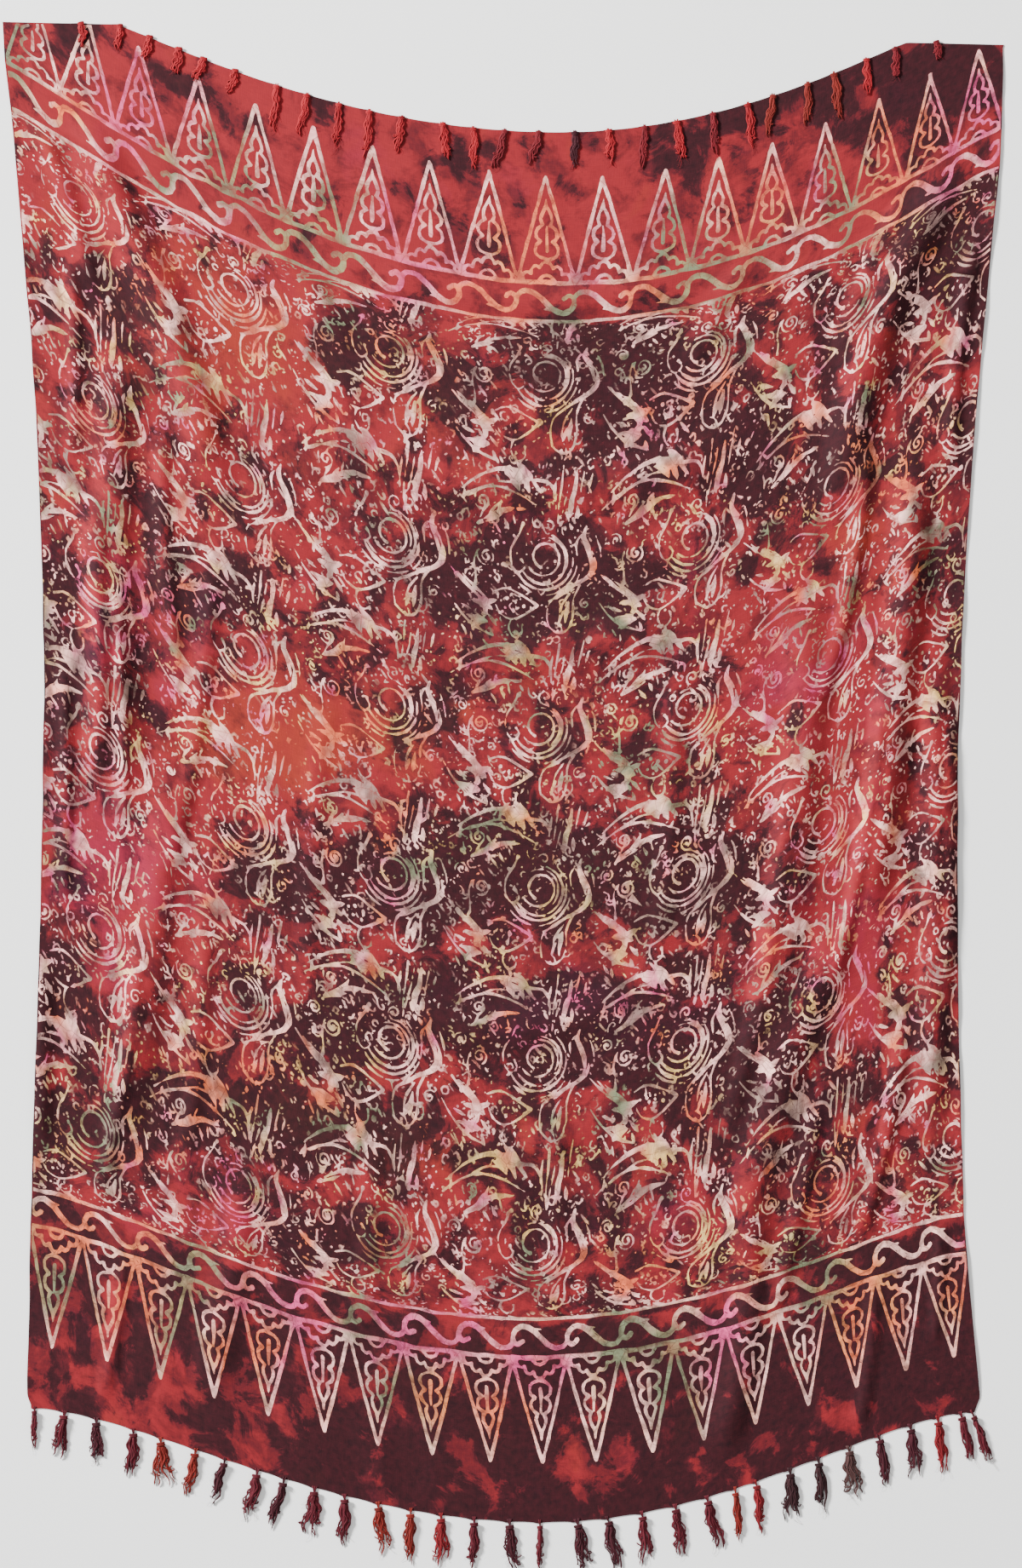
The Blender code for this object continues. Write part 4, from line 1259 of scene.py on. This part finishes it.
def ground_colour(nodes, thread):
    """The dyed ground: two layers of ragged blots over red, and three hues of it."""
    depth = nodes.math("MULTIPLY", nodes.attribute("depth", "Fac"), 0.55)
    wide = nodes.math("ADD", nodes.noise(thread, 24.0, 6.0, 0.5, 0.66), depth)
    deep = nodes.math("ADD", nodes.noise(nodes.shift(thread, 3.7), 19.0, 8.0, 0.7, 0.70), depth)
    fleck = nodes.noise(thread, 120.0, 3.0, 0.4, 0.6)
    total = nodes.math("MULTIPLY_ADD", nodes.range(wide, 0.47, 0.63), 0.38, -0.06)
    total = nodes.math("MULTIPLY_ADD", nodes.range(deep, 0.59, 0.65), 0.36, total)
    total = nodes.math("MULTIPLY_ADD", fleck, 0.44, total)
    hue = nodes.math("ADD", nodes.attribute("warmth", "Fac"),
                     nodes.math("MULTIPLY_ADD", nodes.noise(thread, 16.0, 4.0, 0.5), 2.0, -1.0))
    colour = nodes.ramp(total, RED_RAMP)
    colour = nodes.mix(nodes.range(hue, 0.20, 0.90, 0.0, 0.60), colour, nodes.ramp(total, ORANGE_RAMP))
    return nodes.mix(nodes.range(hue, -0.20, -0.90, 0.0, 0.75), colour, nodes.ramp(total, PINK_RAMP))


def strokes(nodes, thread, turn, scale, fill):
    """A mask of short separate strokes along one slant; fill is how big they grow in their cells."""
    turned = nodes.stretch(thread, (1.0, 1.0, 1.0), turn)
    cells = nodes.add("TexVoronoi", Scale=1.0, Vector=nodes.stretch(turned, scale))
    size = nodes.math("MULTIPLY_ADD", cells.outputs["Color"], fill, -0.10)
    return nodes.range(nodes.math("SUBTRACT", cells.outputs["Distance"], size), 0.03, -0.05)


def rings(nodes, thread, scale, radius):
    """A mask of small broken rings, like the curls of the wax pen."""
    cells = nodes.add("TexVoronoi", Vector=thread, Scale=scale)
    wobble = nodes.noise(thread, 150.0, 1.0)
    reach = nodes.math("MULTIPLY_ADD", wobble, 0.35, cells.outputs["Distance"])
    away = nodes.math("ABSOLUTE", nodes.math("SUBTRACT", reach, radius + 0.175))
    mask = nodes.range(away, 0.09, 0.04)
    return nodes.math("MULTIPLY", mask, nodes.range(nodes.noise(thread, 95.0, 1.0), 0.49, 0.54))


# The fine strokes: turn, the cells' scale, and how big a stroke grows in its cell.
FINE_STROKES = (
    (SLANT, (150.0, 62.0, 1.0), 0.42),
    (-SLANT * 2.0, (190.0, 90.0, 1.0), 0.36),
    (0.3, (120.0, 120.0, 1.0), 0.36),
)


def fine_wax(nodes, thread):
    """The finest wax marks, too small for the mesh, inside the field only."""
    masks = [strokes(nodes, thread, *row) for row in FINE_STROKES]
    long = strokes(nodes, thread, SLANT * 1.3, (135.0, 30.0, 1.0), 0.40)
    masks.append(nodes.math("MULTIPLY", long, nodes.range(nodes.noise(thread, 14.0, 1.0), 0.46, 0.56)))
    masks.append(rings(nodes, thread, 64.0, 0.26))
    mask = masks[0]
    for other in masks[1:]:
        mask = nodes.math("MAXIMUM", mask, other)
    mask = nodes.math("MULTIPLY", mask, nodes.range(nodes.noise(thread, 21.0, 2.0), 0.36, 0.50))
    upward = nodes.add("SeparateXYZ", Vector=thread).outputs["Y"]
    low = nodes.range(upward, LOWER_LINE / 1000.0 + 0.003, LOWER_LINE / 1000.0 + 0.005)
    high = nodes.range(upward, UPPER_LINE / 1000.0 - 0.003, UPPER_LINE / 1000.0 - 0.005)
    return nodes.math("MULTIPLY", mask, nodes.math("MULTIPLY", low, high))


def stained_wax(nodes, thread, ground):
    """The colour of waxed cloth: cream, with the dyes that seeped in and the cracks."""
    seep = nodes.noise(thread, 60.0, 4.0, 0.6, 0.6)
    colour = nodes.mix(nodes.range(seep, 0.40, 0.62, 0.0, 0.66), nodes.attribute("stain", "Color"), ground)
    veins = nodes.cracks(thread, 75.0)
    return nodes.mix(nodes.range(veins, 0.0, 0.035, 0.60, 0.0), colour, ground)


def cloth_material(name, top_coat, low, high):
    """Woven cloth of one name; top_coat makes its colour from the ground and the stained wax."""
    nodes = Nodes(name, 0.80, 0.03, 0.14)
    thread = nodes.attribute("thread", "Vector")
    slub = weave(nodes, thread)
    ground = ground_colour(nodes, thread)
    colour = top_coat(nodes, thread, ground, stained_wax(nodes, thread, ground))
    return nodes.finish(nodes.mix(1.0, colour, nodes.range(slub, 0.3, 0.7, low, high), "MULTIPLY"))


def marked_ground(nodes, thread, ground, wax):
    return nodes.mix(fine_wax(nodes, thread), ground, wax)


def scratched_wax(nodes, thread, ground, wax):
    scratches = strokes(nodes, thread, SLANT * 1.6, (330.0, 70.0, 1.0), 0.34)
    return nodes.mix(nodes.math("MULTIPLY", scratches, 0.8), wax, ground)


# ---- Tassels

# tone: its yarn's colour; split: how far its end parts in two, as a share of its width;
# flare: its end's width; sway: how far it swings aside on its way; yarns: how many it has.
Style = namedtuple("Style", "tone split flare sway yarns")
BOTTOM_STYLES = table(
    Style,
    ("maroon", 0.0, 0.5, 0.1, 4), ("maroon", 1.1, 0.6, 0.0, 8), ("dark", 0.7, 0.8, -0.2, 8),
    ("maroon", 0.0, 1.1, 0.1, 9), ("rust", 1.2, 1.2, 0.0, 9), ("rust", 0.0, 0.7, 0.5, 7),
    ("dark", 0.0, 0.6, -0.4, 7), ("maroon", 0.2, 0.9, 0.4, 8), ("dark", 0.0, 0.7, 0.5, 7),
    ("maroon", 0.8, 1.2, 0.0, 9), ("maroon", 0.0, 0.9, 0.2, 8), ("rust", 0.3, 0.9, -0.2, 8),
    ("rust", 0.0, 0.7, 0.3, 7), ("red", 0.6, 1.2, 0.0, 9), ("maroon", 0.0, 0.6, 0.2, 7),
    ("dark", 0.0, 0.8, -0.5, 8), ("maroon", 0.0, 0.4, 0.2, 4), ("dark", 0.2, 0.9, 0.3, 8),
    ("dark", 0.0, 0.9, -0.4, 8), ("maroon", 1.1, 0.8, 0.0, 8), ("maroon", 0.3, 1.0, 0.2, 8),
    ("maroon", 0.2, 1.0, -0.2, 8), ("rust", 0.0, 0.5, 0.5, 5), ("red", 0.0, 0.6, 0.2, 6),
    ("black", 1.0, 0.8, 0.0, 8), ("black", 0.0, 0.8, 0.3, 7), ("grey", 0.7, 1.3, 0.0, 9),
    ("dark", 0.0, 0.7, 0.3, 7), ("dark", 0.8, 0.9, 0.2, 8), ("red", 0.0, 0.6, 0.0, 7),
    ("maroon", 0.0, 0.7, 0.2, 7), ("maroon", 1.2, 0.6, 0.2, 6),
)
TOP_STYLE = Style("scarlet", 0.25, 0.50, 0.5, 5)
TOP_TONES = {
    14: "crimson", 15: "crimson", 16: "dark", 18: "crimson", 20: "crimson",
    22: "rust", 23: "rust", 24: "rust", 26: "crimson", 27: "crimson",
}
TONES = {
    "maroon": (0.062, 0.004, 0.009),
    "dark": (0.036, 0.004, 0.008),
    "black": (0.022, 0.005, 0.007),
    "grey": (0.045, 0.018, 0.017),
    "rust": (0.125, 0.009, 0.006),
    "red": (0.125, 0.005, 0.008),
    "scarlet": (0.215, 0.006, 0.010),
    "crimson": (0.105, 0.004, 0.008),
}
YARN_RADIUS = 0.00105
FRIZZ_RADIUS = 0.00016
BOTTOM_THICKNESS, TOP_THICKNESS = 0.0062, 0.0020
KNOT = 0.10  # share of a tassel's length at which its knot sits
KNOT_WRAPS = 2.4
CURL_START = 0.80  # share of a yarn from which a looped one curls back
CORE_SWELL = (0.20, 0.55, 0.85, 1.0, 1.0, 0.9, 0.7, 0.4)


class Bundle:
    """Collects tubes into one mesh."""

    def __init__(self):
        self.points, self.faces, self.shades = [], [], []

    def tube(self, path, radii, sides, shade):
        """A tube round a path that lies nearly level, closed at both ends."""
        path = np.asarray(path)
        run = np.gradient(path, axis=0)
        run /= np.linalg.norm(run, axis=1, keepdims=True) + 1e-12
        aside = np.cross(run, (0.0, 0.0, 1.0))
        aside /= np.linalg.norm(aside, axis=1, keepdims=True) + 1e-12
        up = np.cross(aside, run)
        start, count = len(self.points), len(path)
        for index in range(count):
            for side in range(sides):
                turn = 2.0 * math.pi * side / sides
                offset = aside[index] * math.cos(turn) + up[index] * math.sin(turn)
                self.points.append(path[index] + offset * radii[index])
        for index in range(count - 1):
            for side in range(sides):
                a = start + index * sides + side
                b = start + index * sides + (side + 1) % sides
                self.faces.append((a, a + sides, b + sides, b))
        self.faces.append(tuple(start + side for side in range(sides)))
        self.faces.append(tuple(start + (count - 1) * sides + side for side in range(sides - 1, -1, -1)))
        self.shades += [shade] * (count * sides)

    def piece(self, name, material):
        mesh = bpy.data.meshes.new(name)
        mesh.from_pydata([tuple(point) for point in self.points], [], self.faces)
        mesh.attributes.new("shade", "FLOAT", "POINT").data.foreach_set("value", self.shades)
        mesh.shade_smooth()
        mesh.materials.append(material)
        piece = bpy.data.objects.new(name, mesh)
        bpy.context.scene.collection.objects.link(piece)
        return piece


def tassel_line(node):
    """Where a CAD tassel starts and ends, and how wide it is."""
    corners = [vertex.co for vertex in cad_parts[node].data.vertices]
    high, low = max(c.y for c in corners), min(c.y for c in corners)
    start = [c for c in corners if c.y > high - 1e-5]
    end = [c for c in corners if c.y < low + 1e-5]
    start_x = sum(c.x for c in start) / len(start)
    end_x = sum(c.x for c in end) / len(end)
    belly = [c.x for c in corners if abs(c.y - (high + (low - high) * 0.62)) < 0.004]
    width = max(belly) - min(belly) if belly else 0.012
    return Vector((start_x, high)), Vector((end_x, low)), width


def add_collar(bundle, place, style, width, drawn_in, rng):
    """The yarns that run from the cloth's edge into the knot."""
    for _ in range(2 + style.yarns // 2):
        from_off = rng.uniform(-0.22, 0.22) * width
        path = [place(KNOT - (KNOT + drawn_in) * (1.0 - step / 4.0), from_off * (1.0 - step / 4.0) ** 1.3,
                      YARN_RADIUS * (0.9 + 0.4 * step / 4.0)) for step in range(5)]
        bundle.tube(path, [YARN_RADIUS * 0.7] * 5, 6, rng.random())


def add_knot(bundle, place, width, thickness, length, rng):
    """The yarn wound round the neck."""
    half = min(width * 0.36, 0.0042)
    path = []
    for step in range(25):
        turn = 2.0 * math.pi * KNOT_WRAPS * step / 24.0
        along = KNOT + (step / 24.0 - 0.5) * 0.0030 / length
        path.append(place(along, half * math.cos(turn),
                          thickness * 0.45 + thickness * 0.32 * math.sin(turn)))
    bundle.tube(path, [YARN_RADIUS] * 25, 6, rng.random())


def add_core(bundle, place, style, width, thickness):
    """The thick middle of the tail, among the loose yarns."""
    path = []
    for step in range(8):
        sway = style.sway * width * 0.35 * math.sin(5.65 * step / 7.0 * 0.8) * step / 7.0 * 0.8
        path.append(place(KNOT + (0.72 - KNOT) * step / 7.0, sway, thickness * 0.36))
    bundle.tube(path, [min(width * 0.24, thickness * 0.36) * share for share in CORE_SWELL], 8, 0.3)


def add_yarn(bundle, place, style, width, thickness, spin, seat, rng):
    """One loose yarn of the tail; seat is its place across, from -1 to 1."""
    side = 1.0 if seat > 0.0 else -1.0
    phase, beat = rng.uniform(0.0, 6.28), rng.uniform(1.8, 4.4)
    crimp = rng.uniform(0.0004, 0.0015)
    reach = rng.uniform(0.74, 1.04)
    lift = (0.35 + 0.5 * (1.0 - seat * seat)) * thickness * rng.uniform(0.6, 1.0)
    loop = rng.random() < 0.45
    path, radii = [], []
    for step in range(17):
        part = step / 16.0
        along = KNOT + (reach - KNOT) * part
        open_out = math.sin(math.pi * min(part / 1.24, 1.0) ** 0.75)
        shape = 0.30 + 0.62 * open_out + (style.flare - 0.62) * 0.5 * part**2
        off = seat * width * 0.5 * shape
        off += side * style.split * width * 0.30 * max(part - 0.45, 0.0) ** 1.2 * 1.7
        off += style.sway * width * 0.35 * math.sin(2.0 * math.pi * part * 0.9) * part
        off += width * 0.10 * math.sin(9.0 * part + spin) * min(part * 3.0, 1.0)
        off += crimp * math.sin(2.0 * math.pi * beat * part + phase) * min(part * 4.0, 1.0)
        if loop and part > CURL_START:
            turned = (part - CURL_START) * 19.0
            along -= (part - CURL_START) * 0.9 + 0.012 * (1.0 - math.cos(turned))
            off += (0.10 * math.sin(turned) + (part - CURL_START) * 0.9) * width * side
        height = YARN_RADIUS + (lift - YARN_RADIUS) * (1.0 - part) ** 0.6 * min(part * 8.0 + 0.3, 1.0)
        path.append(place(along, off, max(height, YARN_RADIUS * 0.9)))
        radii.append(YARN_RADIUS * (1.15 - 0.40 * part) * (0.9 + 0.2 * math.sin(7.0 * part + phase)))
    radii[-1] *= 0.35
    bundle.tube(path, radii, 6, rng.random())


def add_frizz(bundle, place, width, rng):
    """One short loose hair."""
    from_along = rng.uniform(0.2, 0.95)
    from_off = rng.uniform(-0.5, 0.5) * width * 0.8
    lean = rng.choice((-1.0, 1.0)) * rng.uniform(0.15, 0.6) * width
    reach = rng.uniform(0.05, 0.24)
    path = [place(from_along + reach * step / 5.0, from_off + lean * (step / 5.0) ** 1.6,
                  0.0004 + 0.0012 * math.sin(math.pi * step / 5.0)) for step in range(6)]
    bundle.tube(path, [FRIZZ_RADIUS * (1.2 - 0.15 * step) for step in range(6)], 3, rng.random())


def tassel(node, style, ground, thickness, rng, drawn_in=0.05):
    """One tassel: the yarns drawn in from the edge, the knot, and the loose tail."""
    start, end, width = tassel_line(node)
    run = end - start
    ahead = run / run.length
    aside = Vector((-ahead.y, ahead.x))
    bundle = Bundle()

    def place(along, off, height):
        flat = start + run * along + aside * off
        return (flat.x, flat.y, ground(flat.x, flat.y) + height)

    spin = rng.uniform(0.0, 6.28)
    add_collar(bundle, place, style, width, drawn_in, rng)
    add_knot(bundle, place, width, thickness, run.length, rng)
    add_core(bundle, place, style, width, thickness)
    count = style.yarns + 5
    for yarn in range(count):
        seat = (yarn + 0.5) / count * 2.0 - 1.0
        add_yarn(bundle, place, style, width, thickness, spin, seat, rng)
    for _ in range(12):
        add_frizz(bundle, place, width, rng)
    return bundle


def yarn_material(tone):
    """Twisted rayon yarn of one tone, each strand a little lighter or darker."""
    nodes = Nodes(f"yarn_{tone}", 0.75, 0.03, 0.15)
    own = nodes.attribute("shade", "Fac")
    position = nodes.add("TexCoord").outputs["Object"]
    fuzz = nodes.noise(position, 900.0, 2.0)
    patchy = nodes.noise(position, 110.0, 2.0)
    value = nodes.math("MULTIPLY_ADD", own, 0.5, nodes.math("MULTIPLY_ADD", patchy, 0.7, 0.22))
    base = TONES[tone]
    dark = tuple(channel * 0.55 for channel in base)
    light = tuple(channel * 1.3 + 0.002 for channel in base)
    colour = nodes.mix(nodes.range(value, 0.35, 1.1), dark, light)
    nodes.bump(fuzz, 0.5, 0.0003)
    return nodes.finish(colour)


def add_tassels():
    """Every tassel as its own piece."""
    materials = {tone: yarn_material(tone) for tone in TONES}
    rng = random.Random(23)
    made = []

    def on_ground(x, y):
        return 0.0001

    def on_cloth(x, y):
        return float(relief.at(np.array([x]), np.array([y]))[0]) * 0.35 + LIFT + SHELL

    for node in sorted(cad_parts):
        number = int(node[-2:]) if node.startswith("tassel") else 0
        if node.startswith("tassel_bottom"):
            style = BOTTOM_STYLES[number - 1]
            tone, slot = style.tone, "fringe_bottom"
            bundle = tassel(node, style, on_ground, BOTTOM_THICKNESS, rng)
        elif node.startswith("tassel_top"):
            tone, slot = TOP_TONES.get(number, TOP_STYLE.tone), "fringe_top"
            bundle = tassel(node, TOP_STYLE, on_cloth, TOP_THICKNESS, rng, -0.03)
        else:
            continue
        made.append((bundle.piece(node.replace("tassel", "yarns"), materials[tone]), node, slot))
    for piece, node, slot in made:
        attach(piece, "root")
        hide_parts(node)
    return [piece for piece, _, _ in made]


# ---- The scene

VIEW_WIDTH = 1.174  # metres of floor across the picture
CAMERA_HEIGHT = 6.0
CAMERA_CENTRE = (0.0089, 0.0157)


def add_floor():
    mesh = bpy.data.meshes.new("floor")
    half = 6.0
    mesh.from_pydata([(-half, -half, 0.0), (half, -half, 0.0), (half, half, 0.0), (-half, half, 0.0)],
                     [], [(0, 1, 2, 3)])
    floor = bpy.data.objects.new("floor", mesh)
    bpy.context.scene.collection.objects.link(floor)
    nodes = Nodes("pale_floor", 0.9, 0.0, 0.1)
    grain = nodes.noise(nodes.add("TexCoord").outputs["Object"], 2.0, 3.0)
    floor.data.materials.append(nodes.finish(nodes.mix(grain, (0.86, 0.86, 0.85), (0.90, 0.90, 0.89))))


def add_light(name, place, size, power):
    """A round soft light aimed at the middle of the cloth."""
    data = bpy.data.lights.new(name, "AREA")
    data.shape = "DISK"
    data.size = size
    data.energy = power
    light = bpy.data.objects.new(name, data)
    light.location = place
    light.rotation_euler = (-Vector(place)).to_track_quat("-Z", "Y").to_euler()
    bpy.context.scene.collection.objects.link(light)


def add_world():
    world = bpy.data.worlds.new("studio")
    world.use_nodes = True
    background = world.node_tree.nodes["Background"]
    background.inputs["Color"].default_value = (1.0, 1.0, 1.0, 1.0)
    background.inputs["Strength"].default_value = 0.74
    bpy.context.scene.world = world


def add_camera():
    data = bpy.data.cameras.new("camera")
    data.sensor_fit = "HORIZONTAL"
    data.sensor_width = 36.0
    data.lens = 36.0 * CAMERA_HEIGHT / VIEW_WIDTH
    data.clip_end = 50.0
    camera = bpy.data.objects.new("camera", data)
    camera.location = (*CAMERA_CENTRE, CAMERA_HEIGHT)
    bpy.context.scene.collection.objects.link(camera)
    bpy.context.scene.camera = camera


def main():
    cloth = bpy.data.objects.new("sarong_cloth", cloth_mesh())
    bpy.context.scene.collection.objects.link(cloth)
    cloth.data.materials.append(cloth_material("dyed_ground", marked_ground, 0.92, 1.05))
    cloth.data.materials.append(cloth_material("waxed_lines", scratched_wax, 0.93, 1.04))
    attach(cloth, "root")
    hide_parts("cloth_panel")
    tassels = add_tassels()
    add_floor()
    add_light("key", (-8.0, 5.2, 4.2), 2.2, 5100.0)
    add_light("fill", (3.0, -2.4, 3.4), 3.0, 45.0)
    add_world()
    add_camera()


main()
